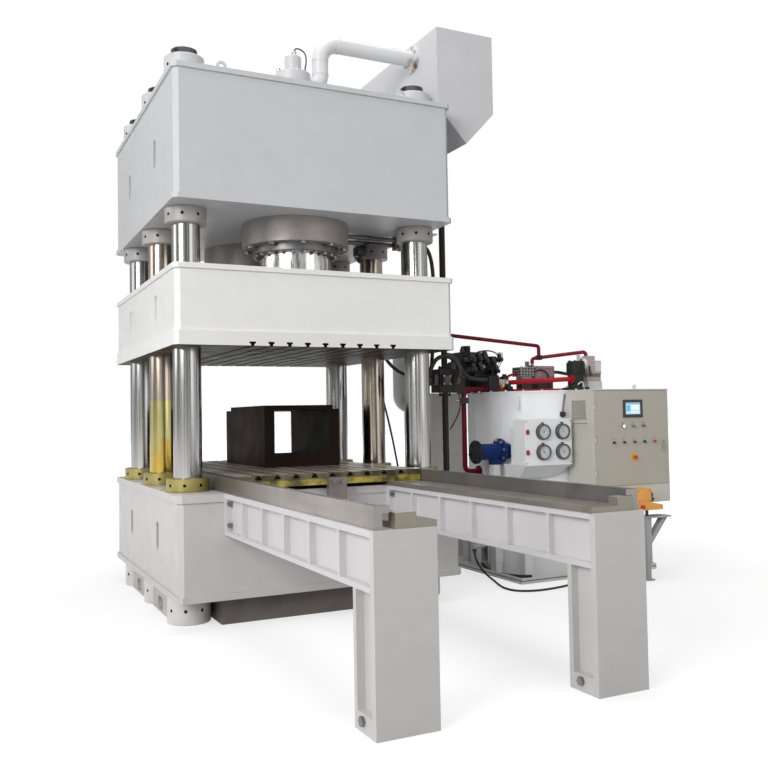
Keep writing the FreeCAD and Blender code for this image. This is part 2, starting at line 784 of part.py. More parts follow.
def swept(path, points, dia):
    start = V(*points[0])
    direction = (V(*points[1]) - start).normalize()
    section = Part.Wire(Part.makeCircle(dia / 2, start, direction))
    return path.makePipeShell([section], True, False)


def pipe(name, points, dia, wall, bend):
    """A pipe along its real route."""
    path, radii = bent_path(points, bend)
    outer = swept(path, points, dia)
    print("  pipe", name, "length", round(path.Length), "bends", radii)
    return outer.cut(swept(path, points, dia - 2 * wall))


# ----------------------------------------------------------- press frame

def make_base():
    wall_middle = (BASE_BOTTOM + BASE_BOTTOM_PLATE + BASE_TOP - BASE_TOP_PLATE) / 2
    base = beam(BASE_HALF_DEPTH, BASE_BOTTOM, BASE_TOP, BASE_BOTTOM_PLATE, BASE_TOP_PLATE,
                wall_middle + BASE_SLOT_RISE)
    # Pads on the front wall, flush with the top plate's edge, carry the arms
    pads = [box(side * ARM_INNER_X, side * ARM_OUTER_X, BASE_FRONT, BASE_FRONT + PLATE_LIP,
                ARM_BOTTOM, BASE_TOP - BASE_TOP_PLATE) for side in (-1, 1)]
    base = joined(base, *pads)
    holes = [rod(ROOT_BOLT_SHANK + 2 * BOLT_PLAY, ROOT_PLATE_THICKNESS + PAST,
                 (x, BASE_FRONT - PAST, z), Y_AXIS) for x, z in root_bolt_places()]
    return without(base, holes)


def make_plinth():
    plinth = box(-PLINTH_HALF_WIDTH, PLINTH_HALF_WIDTH, -PLINTH_HALF_DEPTH,
                 PLINTH_HALF_DEPTH, 0, FOOT_HEIGHT)
    foot = FOOT_NUT_DIA / 2 + SKIRT_GAP
    skirts = []
    pockets = []
    for side in (-1, 1):
        for row in (-1, 1):
            near = row * foot
            far = row * (COLUMN_PITCH - foot)
            skirts.append(box(side * (PLINTH_HALF_WIDTH - PAST), side * SKIRT_X, near, far,
                              0, FOOT_HEIGHT))
            pockets.append(side_obround(side * SKIRT_X, -side, row * COLUMN_PITCH / 2,
                                        SKIRT_HOLE_Z, SKIRT_HOLE_WIDTH, SKIRT_HOLE_HEIGHT,
                                        SKIRT_HOLE_DEPTH))
    return without(joined(plinth, *skirts), pockets)


def make_column(x, y):
    nut_top = CROWN_TOP + TOP_NUT_HEIGHT
    bar = upright(COLUMN_DIA, x, y, COLUMN_FOOT_GAP, nut_top)
    end = upright(COLUMN_END_DIA, x, y, nut_top, nut_top + COLUMN_END_RISE)
    return joined(bar, end)


def nuts(dia, height, z):
    nut = round_nut(dia, height)
    return [placed(nut, x, y, z) for x, y in COLUMN_PLACES]


def make_crown():
    slot_z = (CROWN_BOTTOM + CROWN_TOP) / 2
    crown = beam(BEAM_HALF_DEPTH, CROWN_BOTTOM, CROWN_TOP, CROWN_PLATE, CROWN_PLATE, slot_z)
    bore = CYLINDER_BARREL_DIA + 2 * RUNNING_FIT
    bores = [upright(bore, 0, side * CYLINDER_Y, CROWN_BOTTOM - PAST, CROWN_TOP + PAST)
             for side in (-1, 1)]
    return without(crown, bores + flange_bolt_holes(CROWN_BOTTOM, FLANGE_BOLT_AF))


def on_circle(angles, circle, centre_y):
    """Places on a bolt circle, from angles in degrees."""
    turns = [math.radians(angle) for angle in angles]
    return [(circle / 2 * math.cos(t), centre_y + circle / 2 * math.sin(t)) for t in turns]


def flange_bolt_places():
    angles = [FLANGE_BOLT_TURN + 360 * k / FLANGE_BOLTS for k in range(FLANGE_BOLTS)]
    return [place for side in (-1, 1)
            for place in on_circle(angles, FLANGE_BOLT_CIRCLE, side * CYLINDER_Y)]


def gland_bolt_places():
    angles = [360 * k / GLAND_BOLTS for k in range(GLAND_BOLTS)]
    return [place for side in (-1, 1)
            for place in on_circle(angles, GLAND_BOLT_CIRCLE, side * CYLINDER_Y)]


def bolt_sizes(across_flats):
    """Shank, head height and threaded length, from the size across flats."""
    return (across_flats * BOLT_SHANK_SHARE, across_flats * BOLT_HEAD_SHARE,
            across_flats * BOLT_THREAD_SHARE)


def flange_bolt_holes(z0, depth):
    shank = bolt_sizes(FLANGE_BOLT_AF)[0] + 2 * BOLT_PLAY
    return [upright(shank, x, y, z0 - PAST, z0 + depth) for x, y in flange_bolt_places()]


def gland_bolt_holes(z0, depth):
    shank = bolt_sizes(GLAND_BOLT_AF)[0] + 2 * BOLT_PLAY
    return [upright(shank, x, y, z0 - PAST, z0 + depth) for x, y in gland_bolt_places()]


def make_cylinder(y):
    bore = RAM_DIA / 2 + OPEN_PLAY
    flange = CYLINDER_FLANGE_DIA / 2
    barrel = CYLINDER_BARREL_DIA / 2
    head = CYLINDER_HEAD_DIA / 2
    port = CYLINDER_PORT_DIA / 2
    bore_top = CROWN_TOP - CYLINDER_END_WALL
    solid = turned([(bore, FLANGE_BOTTOM), (flange, FLANGE_BOTTOM), (flange, CROWN_BOTTOM),
                    (barrel, CROWN_BOTTOM), (barrel, CROWN_TOP), (head, CROWN_TOP),
                    (head, HEAD_TOP), (port, HEAD_TOP), (port, bore_top), (bore, bore_top)],
                   0, y)
    return without(solid, flange_bolt_holes(FLANGE_BOTTOM, CYLINDER_FLANGE_HEIGHT + PAST)
                   + gland_bolt_holes(FLANGE_BOTTOM, GLAND_BOLT_AF))


def make_gland_ring(y):
    bore = RAM_DIA / 2 + RUNNING_FIT
    outer = GLAND_DIA / 2
    ease = NUT_CHAMFER
    ring = turned([(bore, GLAND_BOTTOM), (outer - ease, GLAND_BOTTOM),
                   (outer, GLAND_BOTTOM + ease), (outer, FLANGE_BOTTOM),
                   (bore, FLANGE_BOTTOM)], 0, y)
    return without(ring, gland_bolt_holes(GLAND_BOTTOM, GLAND_HEIGHT + PAST))


def hanging_bolt(x, y, z, across_flats, grip):
    """A bolt with its head under a face and its shank going up."""
    shank, head, thread = bolt_sizes(across_flats)
    return joined(hexagon(across_flats, head, (x, y, z), Z_AXIS * -1),
                  upright(shank, x, y, z, z + grip + thread))


def make_ram(y):
    ram_top = GLAND_BOTTOM + SLIDE_STROKE_DOWN + RAM_ENGAGEMENT
    return upright(RAM_DIA, 0, y, SLIDE_TOP, ram_top)


def make_lifting_eye():
    """A bolt eye that stands at the origin."""
    ring_z = EYE_HEIGHT - EYE_RING_DIA / 2
    foot = upright(EYE_BASE_DIA, 0, 0, 0, EYE_BASE_HEIGHT)
    neck = upright(EYE_NECK_DIA, 0, 0, 0, ring_z - EYE_HOLE_DIA / 2)
    ring = rod(EYE_RING_DIA, EYE_THICKNESS, (0, -EYE_THICKNESS / 2, ring_z), Y_AXIS)
    hole = rod(EYE_HOLE_DIA, EYE_THICKNESS + 2 * PAST, (0, -EYE_THICKNESS / 2 - PAST, ring_z), Y_AXIS)
    return joined(foot, neck, ring).cut(hole)


def lifting_eyes():
    eye = make_lifting_eye()
    eyes = [placed(eye, sx * EYE_X, sy * EYE_Y, CROWN_TOP) for sx in (-1, 1) for sy in (-1, 1)]
    small = eye.copy()
    small.scale(SMALL_EYE_SCALE)
    cabinet_middle = (CABINET_FRONT + CABINET_BACK) / 2
    return eyes + [placed(small, CABINET_LEFT + SMALL_EYE_INSET, cabinet_middle, CABINET_TOP)]


# ------------------------------------------- above and beside the crown

def make_prefill_valve(y):
    body = VALVE_DIA / 2
    cap = VALVE_CAP_DIA / 2
    body_top = HEAD_TOP + VALVE_HEIGHT
    cap_top = body_top + VALVE_CAP_HEIGHT
    ease = NUT_CHAMFER
    valve = turned([(0, HEAD_TOP), (body, HEAD_TOP), (body, body_top - ease),
                    (body - ease, body_top), (cap, body_top), (cap, cap_top - 2 * ease),
                    (cap - 2 * ease, cap_top), (0, cap_top)], 0, y)
    port = rod(SUCTION_PIPE_DIA, body, (0, y, HEAD_TOP + SUCTION_INLET_RISE), X_AXIS)
    flat = box(body * VALVE_FLAT_SHARE, VALVE_DIA, y - body, y + body, HEAD_TOP, body_top)
    return joined(valve.cut(flat), port.cut(flat))


def tank_slope_x(z):
    """The V's left face at a height."""
    v_top = CROWN_TOP + TANK_TOP_RISE - TANK_SIDE_HEIGHT
    return TANK_LEFT + (v_top - z) * (TANK_WIDTH / 2) / TANK_V_DEPTH


def make_prefill_tank():
    top = CROWN_TOP + TANK_TOP_RISE
    v_top = top - TANK_SIDE_HEIGHT
    v_bottom = v_top - TANK_V_DEPTH
    right = TANK_LEFT + TANK_WIDTH
    middle = TANK_LEFT + TANK_WIDTH / 2
    y = -TANK_HALF_DEPTH
    tank = prism([(TANK_LEFT, y, top), (right, y, top), (right, y, v_top),
                  (middle, y, v_bottom), (TANK_LEFT, y, v_top)], Y_AXIS * (2 * TANK_HALF_DEPTH))
    wall = BEAM_HALF_WIDTH - PLATE_LIP
    high = CROWN_TOP - CROWN_PLATE
    low = CROWN_TOP - TANK_BRACKET_DROP
    near_tip = v_bottom + TANK_TIP_GAP
    brackets = [prism([(wall, y, high), (tank_slope_x(high), y, high),
                       (tank_slope_x(near_tip), y, near_tip), (wall, y, low)],
                      Y_AXIS * TANK_BRACKET_THICKNESS)
                for y in (-TANK_BRACKET_Y, 0, TANK_BRACKET_Y)]
    return joined(tank, *brackets)


def make_suction_pipe(y):
    low = HEAD_TOP + SUCTION_INLET_RISE
    high = HEAD_TOP + SUCTION_RUN_RISE
    start = VALVE_DIA / 2 * VALVE_FLAT_SHARE
    points = [(start, y, low), (SUCTION_RISER_X, y, low), (SUCTION_RISER_X, y, high),
              (TANK_LEFT, y, high)]
    run = pipe("suction", points, SUCTION_PIPE_DIA, SUCTION_PIPE_WALL,
               SUCTION_BENDS)
    bore = SUCTION_PIPE_DIA - SUCTION_PIPE_WALL
    start = TANK_LEFT - SUCTION_FLANGE_THICKNESS
    flange = rod(SUCTION_FLANGE_DIA, SUCTION_FLANGE_THICKNESS,
                 (start, y, high), X_AXIS)
    hole = rod(bore, SUCTION_FLANGE_THICKNESS + 2 * PAST, (start - PAST, y, high),
               X_AXIS)
    return joined(run, flange.cut(hole))


# --------------------------------------------------------- slide and table

def make_slide():
    low = SLIDE_BOTTOM + SLOT_PLATE_HEIGHT
    slot_z = (low + SLIDE_TOP - SLIDE_TOP_PLATE) / 2
    return beam(BEAM_HALF_DEPTH, low, SLIDE_TOP, 0, SLIDE_TOP_PLATE, slot_z)


def make_slot_plate():
    top = SLIDE_BOTTOM + SLOT_PLATE_HEIGHT
    plate = chamfered_block(BEAM_HALF_WIDTH, BEAM_HALF_DEPTH, SLIDE_BOTTOM, top)
    return without(plate, column_bores(SLIDE_BOTTOM, top)
                   + t_slots(-BEAM_HALF_DEPTH, BEAM_HALF_DEPTH, SLIDE_BOTTOM, 1))


def make_table():
    table = box(-TABLE_HALF_WIDTH, TABLE_HALF_WIDTH, TABLE_FRONT, BASE_HALF_DEPTH,
                TRACK_TOP, TABLE_TOP)
    return without(table, t_slots(TABLE_FRONT, BASE_HALF_DEPTH, TABLE_TOP, -1))


def make_table_bracket():
    top = TABLE_TOP - T_NECK_DEPTH - T_DEPTH - BRACKET_TOP_GAP
    front = TABLE_FRONT - BRACKET_THICKNESS
    plate = box(BRACKET_LEFT, BRACKET_LEFT + BRACKET_WIDTH, front, TABLE_FRONT,
                top - BRACKET_HEIGHT, top)
    heads = [rod(BRACKET_BOLT_DIA, BRACKET_BOLT_LENGTH,
                 (x, front - BRACKET_BOLT_LENGTH, top - BRACKET_BOLT_INSET), Y_AXIS)
             for x in (BRACKET_LEFT + BRACKET_BOLT_INSET,
                       BRACKET_LEFT + BRACKET_WIDTH - BRACKET_BOLT_INSET)]
    return joined(plate, *heads)


def make_raising_box():
    """A steel box, open at the back, with a window in its front wall."""
    right = BOX_LEFT + BOX_WIDTH
    back = BOX_FRONT + BOX_DEPTH
    top = TABLE_TOP + BOX_HEIGHT
    body = box(BOX_LEFT, right, BOX_FRONT, back, TABLE_TOP, top)
    hollow = box(BOX_LEFT + BOX_SIDE_WALL, right - BOX_SIDE_WALL, BOX_FRONT + BOX_FRONT_WALL,
                 back + PAST, TABLE_TOP + BOX_FLOOR, top - BOX_ROOF)
    window = box(BOX_LEFT + WINDOW_MARGIN, right - WINDOW_MARGIN, BOX_FRONT - PAST,
                 back, TABLE_TOP + WINDOW_SILL, top - BOX_ROOF)
    cap = box(BOX_LEFT, right - BOX_CAP_INSET_RIGHT, BOX_FRONT, back - BOX_CAP_INSET_REAR,
              top, top + BOX_CAP_HEIGHT)
    return joined(without(body, [hollow, window]), cap)


def guide_bars():
    """Bars at both sides of the table, on the base and on the arms."""
    inner = TABLE_HALF_WIDTH + GUIDE_GAP
    outer = inner + GUIDE_BAR_WIDTH
    top = BASE_TOP + GUIDE_BAR_HEIGHT
    end = LEG_FRONT + GUIDE_END_GAP
    on_base = box(inner, outer, BASE_FRONT, BASE_HALF_DEPTH, BASE_TOP, top)
    on_arm = box(inner, outer, end, BASE_FRONT, BASE_TOP, top)
    lip = box(inner - GUIDE_LIP_WIDTH, inner, end, end + GUIDE_LIP_LENGTH,
              top - GUIDE_LIP_HEIGHT, top)
    on_arm = joined(on_arm, lip)
    return [on_base, mirrored(on_base), on_arm, mirrored(on_arm)]


def table_tracks():
    """Flat strips under the table, with a stop welded at each front end."""
    strips = [box(side * TRACK_INNER_X, side * TRACK_OUTER_X, BASE_FRONT, BASE_HALF_DEPTH,
                  BASE_TOP, TRACK_TOP) for side in (-1, 1)]
    for side, inner, outer in ((-1, LEFT_STOP_INNER, LEFT_STOP_OUTER),
                               (1, RIGHT_STOP_INNER, RIGHT_STOP_OUTER)):
        strip = box(side * TRACK_INNER_X, side * TRACK_OUTER_X, STOP_FRONT, BASE_FRONT,
                    BASE_TOP, TRACK_TOP)
        stop = box(side * inner, side * outer, STOP_FRONT, STOP_FRONT + STOP_LENGTH,
                   BASE_TOP, BASE_TOP + STOP_HEIGHT)
        strips.append(joined(strip, stop))
    return strips


# ----------------------------------------------------------- arms and legs

def root_bolt_places():
    """Bolts in the open sides of the arms, through their root plates."""
    inset = ARM_WEB_INSET / 2
    return [(side * x, BASE_TOP - drop) for side in (-1, 1)
            for x in (ARM_INNER_X + inset, ARM_OUTER_X - inset)
            for drop in (ROOT_BOLT_DROP_HIGH, ROOT_BOLT_DROP_LOW)]


def make_arm():
    """The right arm: a beam with its web set in, ribs and a root plate."""
    top = box(ARM_INNER_X, ARM_OUTER_X, ARM_FRONT, BASE_FRONT, BASE_TOP - ARM_TOP_FLANGE,
              BASE_TOP)
    bottom = box(ARM_INNER_X, ARM_OUTER_X, ARM_FRONT, BASE_FRONT, ARM_BOTTOM,
                 ARM_BOTTOM + ARM_BOTTOM_FLANGE)
    web = box(ARM_INNER_X + ARM_WEB_INSET, ARM_OUTER_X - ARM_WEB_INSET, ARM_FRONT, BASE_FRONT,
              ARM_BOTTOM, BASE_TOP)
    root = box(ARM_INNER_X, ARM_OUTER_X, BASE_FRONT - ROOT_PLATE_THICKNESS, BASE_FRONT,
               ARM_BOTTOM, BASE_TOP)
    ribs = []
    for k in range(1, ARM_RIBS + 1):
        y = BASE_FRONT - k * ARM_RIB_PITCH
        ribs.append(box(ARM_INNER_X, ARM_OUTER_X, y - ARM_RIB_THICKNESS / 2,
                        y + ARM_RIB_THICKNESS / 2, ARM_BOTTOM, BASE_TOP))
    arm = joined(top, bottom, web, root, *ribs)
    holes = [rod(ROOT_BOLT_SHANK + 2 * BOLT_PLAY, ROOT_PLATE_THICKNESS + 2 * PAST,
                 (x, BASE_FRONT - ROOT_PLATE_THICKNESS - PAST, z), Y_AXIS)
             for x, z in root_bolt_places() if x > 0]
    return without(arm, holes)


def make_leg():
    """The right leg: its front plate rises past the arm's end."""
    plate = box(ARM_INNER_X, ARM_OUTER_X, LEG_FRONT, ARM_FRONT, 0, BASE_TOP)
    web = box(ARM_INNER_X + ARM_WEB_INSET, ARM_OUTER_X - ARM_WEB_INSET, ARM_FRONT, LEG_BACK,
              0, ARM_BOTTOM)
    rear = box(ARM_INNER_X, ARM_OUTER_X, LEG_BACK - LEG_REAR_FLANGE, LEG_BACK, 0, ARM_BOTTOM)
    cap = box(ARM_INNER_X, ARM_OUTER_X, ARM_FRONT, LEG_BACK, 0, LEG_CAP_HEIGHT)
    return joined(plate, web, rear, cap)


def hex_bolts():
    """All the fixed hexagon bolts: cylinder flanges, gland rings, arms, legs."""
    bolts = [hanging_bolt(x, y, FLANGE_BOTTOM, FLANGE_BOLT_AF, CYLINDER_FLANGE_HEIGHT)
             for x, y in flange_bolt_places()]
    bolts += [hanging_bolt(x, y, GLAND_BOTTOM, GLAND_BOLT_AF, GLAND_HEIGHT)
              for x, y in gland_bolt_places()]
    root = BASE_FRONT - ROOT_PLATE_THICKNESS
    for x, z in root_bolt_places():
        bolts.append(joined(hexagon(ROOT_BOLT_AF, ROOT_BOLT_HEAD, (x, root, z), Y_AXIS * -1),
                            rod(ROOT_BOLT_SHANK, 2 * ROOT_PLATE_THICKNESS - BOLT_PLAY,
                                (x, root, z), Y_AXIS)))
    leg_middle = (ARM_FRONT + LEG_BACK) / 2
    for side in (-1, 1):
        for x, outward in ((ARM_INNER_X, -side), (ARM_OUTER_X, side)):
            bolts.append(hexagon(LEG_BOLT_AF, LEG_BOLT_HEAD, (side * x, leg_middle, LEG_BOLT_Z),
                                 X_AXIS * outward))
    return bolts


# --------------------------------------------------------------- power unit

def oil_tank_core():
    return upright(OIL_TANK_DIA, OIL_TANK_X, OIL_TANK_Y, OIL_TANK_BOTTOM, OIL_TANK_TOP)


def make_drip_tray():
    outer = box(TRAY_LEFT, TRAY_RIGHT, TRAY_FRONT, TRAY_BACK, 0, TRAY_HEIGHT)
    inner = box(TRAY_LEFT + TRAY_WALL, TRAY_RIGHT - TRAY_WALL, TRAY_FRONT + TRAY_WALL,
                TRAY_BACK - TRAY_WALL, TRAY_FLOOR, TRAY_HEIGHT + PAST)
    return outer.cut(inner)


def make_oil_tank():
    rim_low = OIL_TANK_TOP - OIL_TANK_RIM_HEIGHT
    rim = upright(OIL_TANK_DIA + 2 * OIL_TANK_RIM, OIL_TANK_X, OIL_TANK_Y, rim_low,
                  OIL_TANK_TOP)
    half = TANK_FOOT_SIZE / 2
    reach = (OIL_TANK_DIA / 2 + TANK_FOOT_STANDOFF) * math.sin(math.pi / 4)
    feet = [box(OIL_TANK_X + sx * reach - half, OIL_TANK_X + sx * reach + half,
                OIL_TANK_Y + sy * reach - half, OIL_TANK_Y + sy * reach + half,
                OIL_TANK_BOTTOM, TANK_FOOT_HEIGHT) for sx in (-1, 1) for sy in (-1, 1)]
    half_box = TERMINAL_BOX_DEPTH / 2
    terminal = box(TERMINAL_BOX_LEFT, OIL_TANK_X, TERMINAL_BOX_Y - half_box,
                   TERMINAL_BOX_Y + half_box, TERMINAL_BOX_Z,
                   TERMINAL_BOX_Z + TERMINAL_BOX_HEIGHT)
    # A conduit runs out of the box and turns down to the cable
    x, y, z = CABLE_ROUTE[0]
    bend_z = z + CONDUIT_RISE
    down = upright(CONDUIT_DIA, x, y, z, bend_z)
    elbow = Part.makeSphere(CONDUIT_DIA / 2, V(x, y, bend_z))
    across = rod(CONDUIT_DIA, TERMINAL_BOX_LEFT - x + half_box, (x, y, bend_z), X_AXIS)
    return joined(oil_tank_core(), rim, terminal, down, elbow, across, *feet)


def gauge_places():
    return [(GAUGE_X + i * GAUGE_PITCH_X, GAUGE_Z + j * GAUGE_PITCH_Z)
            for j in (0, 1) for i in (0, 1)]


def make_gauge_panel():
    right = PANEL_LEFT + PANEL_WIDTH
    back = PANEL_FRONT + PANEL_DEPTH
    top = PANEL_Z + PANEL_HEIGHT
    body = box(PANEL_LEFT, right, PANEL_FRONT, back, PANEL_Z, top)
    arm = box(PANEL_LEFT + PANEL_ARM_INSET, right, back, PANEL_ARM_END, PANEL_Z,
              top - PANEL_ARM_INSET)
    low = PANEL_Z - PANEL_SHELF_DROP
    shelf = prism([(PANEL_LEFT, PANEL_FRONT, PANEL_Z), (right, PANEL_FRONT, PANEL_Z),
                   (right - PANEL_SHELF_TAPER, PANEL_FRONT, low),
                   (PANEL_LEFT + PANEL_SHELF_TAPER, PANEL_FRONT, low)],
                  Y_AXIS * (PANEL_ARM_END - PANEL_FRONT))
    # The shelf is set back under the panel and slopes in towards the tank
    slope = prism([(PANEL_LEFT - PAST, PANEL_FRONT - PAST, PANEL_Z - NUT_CHAMFER),
                   (PANEL_LEFT - PAST, PANEL_FRONT - PAST, low - PAST),
                   (PANEL_LEFT - PAST, back, low - PAST)], X_AXIS * (PANEL_WIDTH + 2 * PAST))
    carried = joined(body, arm, shelf.cut(slope)).cut(oil_tank_core())
    gauges = []
    dials = []
    dial_y = PANEL_FRONT - GAUGE_DEPTH + GAUGE_DIAL_DEPTH
    for x, z in gauge_places():
        gauges.append(rod(GAUGE_DIA, GAUGE_DEPTH, (x, PANEL_FRONT - GAUGE_DEPTH, z), Y_AXIS))
        dials.append(rod(GAUGE_DIA - 2 * GAUGE_RIM, GAUGE_DIAL_DEPTH + PAST,
                         (x, PANEL_FRONT - GAUGE_DEPTH - PAST, z), Y_AXIS))
        dials.append(rod(NEEDLE_SPINDLE_DIA + 2 * RUNNING_FIT, NEEDLE_SPINDLE_LENGTH + PAST,
                         (x, dial_y - PAST, z), Y_AXIS))
    lamps = []
    for j in (0, 1):
        z = GAUGE_Z + j * GAUGE_PITCH_Z
        half = (PANEL_LAMP_HEIGHT - PANEL_LAMP_WIDTH) / 2
        low_end = rod(PANEL_LAMP_WIDTH, PANEL_LAMP_DEPTH,
                      (PANEL_LAMP_X, PANEL_FRONT - PANEL_LAMP_DEPTH, z - half), Y_AXIS)
        high_end = placed(low_end, 0, 0, 2 * half)
        middle = box(PANEL_LAMP_X - PANEL_LAMP_WIDTH / 2, PANEL_LAMP_X + PANEL_LAMP_WIDTH / 2,
                     PANEL_FRONT - PANEL_LAMP_DEPTH, PANEL_FRONT, z - half, z + half)
        lamps.append(joined(low_end, high_end, middle))
    in_front = max(carried.Solids, key=lambda solid: solid.Volume)
    return without(joined(in_front, *gauges, *lamps), dials)


def make_needle(x, z, turn):
    """A needle on its spindle, just clear of the dial."""
    dial_y = PANEL_FRONT - GAUGE_DEPTH + GAUGE_DIAL_DEPTH
    face_y = dial_y - OPEN_PLAY - NEEDLE_THICKNESS
    half = NEEDLE_WIDTH / 2
    blade = prism([(x - half, face_y, z - NEEDLE_TAIL), (x + half, face_y, z - NEEDLE_TAIL),
                   (x + half / 4, face_y, z + NEEDLE_LENGTH),
                   (x - half / 4, face_y, z + NEEDLE_LENGTH)], Y_AXIS * NEEDLE_THICKNESS)
    hub = rod(NEEDLE_HUB_DIA, NEEDLE_THICKNESS * 2,
              (x, face_y - NEEDLE_THICKNESS, z), Y_AXIS)
    spindle = rod(NEEDLE_SPINDLE_DIA, NEEDLE_SPINDLE_LENGTH, (x, face_y, z), Y_AXIS)
    needle = joined(blade, hub, spindle)
    needle.rotate(V(x, 0, z), Y_AXIS, turn)
    return needle


def make_filter():
    """The filter lies across, from its cap through its flange to the tank's wall."""
    cap_end = FILTER_LEFT + FILTER_CAP_LENGTH
    body_end = cap_end + FILTER_BODY_LENGTH
    centre = (FILTER_Y, FILTER_Z)
    cap = rod(FILTER_CAP_DIA, FILTER_CAP_LENGTH, (FILTER_LEFT, *centre), X_AXIS)
    body = rod(FILTER_DIA, OIL_TANK_X - cap_end, (cap_end, *centre), X_AXIS)
    flange = rod(FILTER_FLANGE_DIA, FILTER_FLANGE_LENGTH, (body_end, *centre), X_AXIS)
    saddle_right = FILTER_SADDLE_LEFT + FILTER_SADDLE_WIDTH
    post = box(FILTER_SADDLE_LEFT, saddle_right, FILTER_Y - FILTER_SADDLE_DEPTH / 2,
               FILTER_Y + FILTER_SADDLE_DEPTH / 2, TRAY_FLOOR, FILTER_Z)
    whole = joined(cap, body, flange, post).cut(oil_tank_core())
    return max(whole.Solids, key=lambda solid: solid.Volume)


def make_valve_stand():
    return box(STAND_LEFT, STAND_LEFT + STAND_WIDTH, STAND_FRONT, STAND_FRONT + STAND_DEPTH,
               TRAY_FLOOR, STAND_TOP)


def make_manifold():
    """The black valve stack on the tank's left."""
    front = MANIFOLD_Y - MANIFOLD_DEPTH / 2
    back = MANIFOLD_Y + MANIFOLD_DEPTH / 2
    right = MANIFOLD_LEFT + MANIFOLD_WIDTH
    tower_right = MANIFOLD_TOWER_LEFT + MANIFOLD_TOWER_WIDTH
    low_top = OIL_TANK_TOP + MANIFOLD_LOW_HEIGHT
    low = box(MANIFOLD_LEFT, right, front, back, OIL_TANK_TOP, low_top)
    tower = box(MANIFOLD_TOWER_LEFT, tower_right, front, back, OIL_TANK_TOP + OIL_TANK_RIM,
                OIL_TANK_TOP + MANIFOLD_TOWER_HEIGHT)
    side = box(tower_right, tower_right + MANIFOLD_SIDE_WIDTH, front + OIL_TANK_RIM,
               back - OIL_TANK_RIM, low_top, OIL_TANK_TOP + MANIFOLD_SIDE_HEIGHT)
    tower_top = OIL_TANK_TOP + MANIFOLD_TOWER_HEIGHT
    cap = upright(MANIFOLD_CAP_DIA, MANIFOLD_TOWER_LEFT + MANIFOLD_TOWER_WIDTH / 2, MANIFOLD_Y,
                  tower_top, tower_top + MANIFOLD_CAP_HEIGHT)
    solenoids = []
    for level in SOLENOID_LEVELS:
        z = OIL_TANK_TOP + MANIFOLD_TOWER_HEIGHT * level
        x = MANIFOLD_TOWER_LEFT - SOLENOID_LENGTH
        solenoids.append(rod(SOLENOID_DIA, SOLENOID_LENGTH, (x, MANIFOLD_Y, z), X_AXIS))
        solenoids.append(rod(SOLENOID_DIA, SOLENOID_LENGTH,
                             (MANIFOLD_TOWER_LEFT + MANIFOLD_TOWER_WIDTH / 2,
                              front - SOLENOID_LENGTH, z), Y_AXIS))
    end = rod(SOLENOID_DIA, SOLENOID_LENGTH / 2,
              (tower_right + MANIFOLD_SIDE_WIDTH, MANIFOLD_Y,
               OIL_TANK_TOP + MANIFOLD_SIDE_HEIGHT - SOLENOID_DIA), X_AXIS)
    block_right = FRONT_BLOCK_LEFT + FRONT_BLOCK_WIDTH
    front_block = box(FRONT_BLOCK_LEFT, block_right, front - FRONT_BLOCK_REACH, front,
                      OIL_TANK_TOP, low_top)
    union = rod(FEED_UNION_DIA, FEED_UNION_LENGTH, (block_right, FEED_Y, FEED_Z), X_AXIS)
    return joined(low, tower, side, cap, end, front_block, union, *solenoids)


def motor_top():
    return OIL_TANK_TOP + MOTOR_RISE + MOTOR_HEIGHT


def make_pump_motor():
    """The motor on its feet, with a valve block at its left."""
    right = MOTOR_LEFT + MOTOR_WIDTH
    front = MOTOR_Y - MOTOR_DEPTH / 2
    back = MOTOR_Y + MOTOR_DEPTH / 2
    low = OIL_TANK_TOP + MOTOR_RISE
    body = box(MOTOR_LEFT, right, front, back, low, motor_top())
    feet = [box(x, x + MOTOR_FOOT_WIDTH, front, back, OIL_TANK_TOP, low)
            for x in (MOTOR_LEFT + MOTOR_FOOT_INSET, right - MOTOR_FOOT_INSET - MOTOR_FOOT_WIDTH)]
    half = VALVE_BLOCK_DEPTH / 2
    left = MOTOR_LEFT - VALVE_BLOCK_WIDTH
    block_low = OIL_TANK_TOP + VALVE_BLOCK_RISE
    block_top = block_low + VALVE_BLOCK_HEIGHT
    block = box(left, MOTOR_LEFT, MOTOR_Y - half, MOTOR_Y + half, block_low, block_top)
    inset = VALVE_BLOCK_FOOT_INSET
    block_foot = box(left + inset, MOTOR_LEFT - inset, MOTOR_Y - half + inset,
                     MOTOR_Y + half - inset, OIL_TANK_TOP, block_low)
    knob = upright(VALVE_KNOB_DIA, MOTOR_LEFT - VALVE_KNOB_INSET, MOTOR_Y, block_top,
                   block_top + VALVE_KNOB_HEIGHT)
    port = upright(MOTOR_PORT_DIA, MOTOR_PORT_X, MOTOR_Y, motor_top(),
                   motor_top() + MOTOR_PORT_HEIGHT)
    return joined(body, block, block_foot, knob, port, *feet)


def make_main_pump():
    """An upright round pump on a square base, with a port block at its left."""
    half = PUMP_BASE_SIZE / 2
    top = OIL_TANK_TOP + PUMP_HEIGHT
    base = box(PUMP_X - half, PUMP_X + half, PUMP_Y - half, PUMP_Y + half, OIL_TANK_TOP,
               OIL_TANK_TOP + PUMP_BASE_HEIGHT)
    body = upright(PUMP_DIA, PUMP_X, PUMP_Y, OIL_TANK_TOP, top)
    half_port = PUMP_PORT_SIZE / 2
    port_y = PUMP_Y - PUMP_PORT_OFFSET
    port = box(PUMP_X - PUMP_PORT_REACH, PUMP_X, port_y - half_port, port_y + half_port,
               FEED_END_Z - half_port, FEED_END_Z + half_port)
    knob = upright(PUMP_KNOB_DIA, PUMP_X + PUMP_KNOB_OFFSET, PUMP_Y, top,
                   top + PUMP_KNOB_HEIGHT)
    return joined(base, body, port, knob)


def pilot_top():
    return OIL_TANK_TOP + PILOT_BASE_HEIGHT + PILOT_BODY_HEIGHT + PILOT_MOTOR_HEIGHT


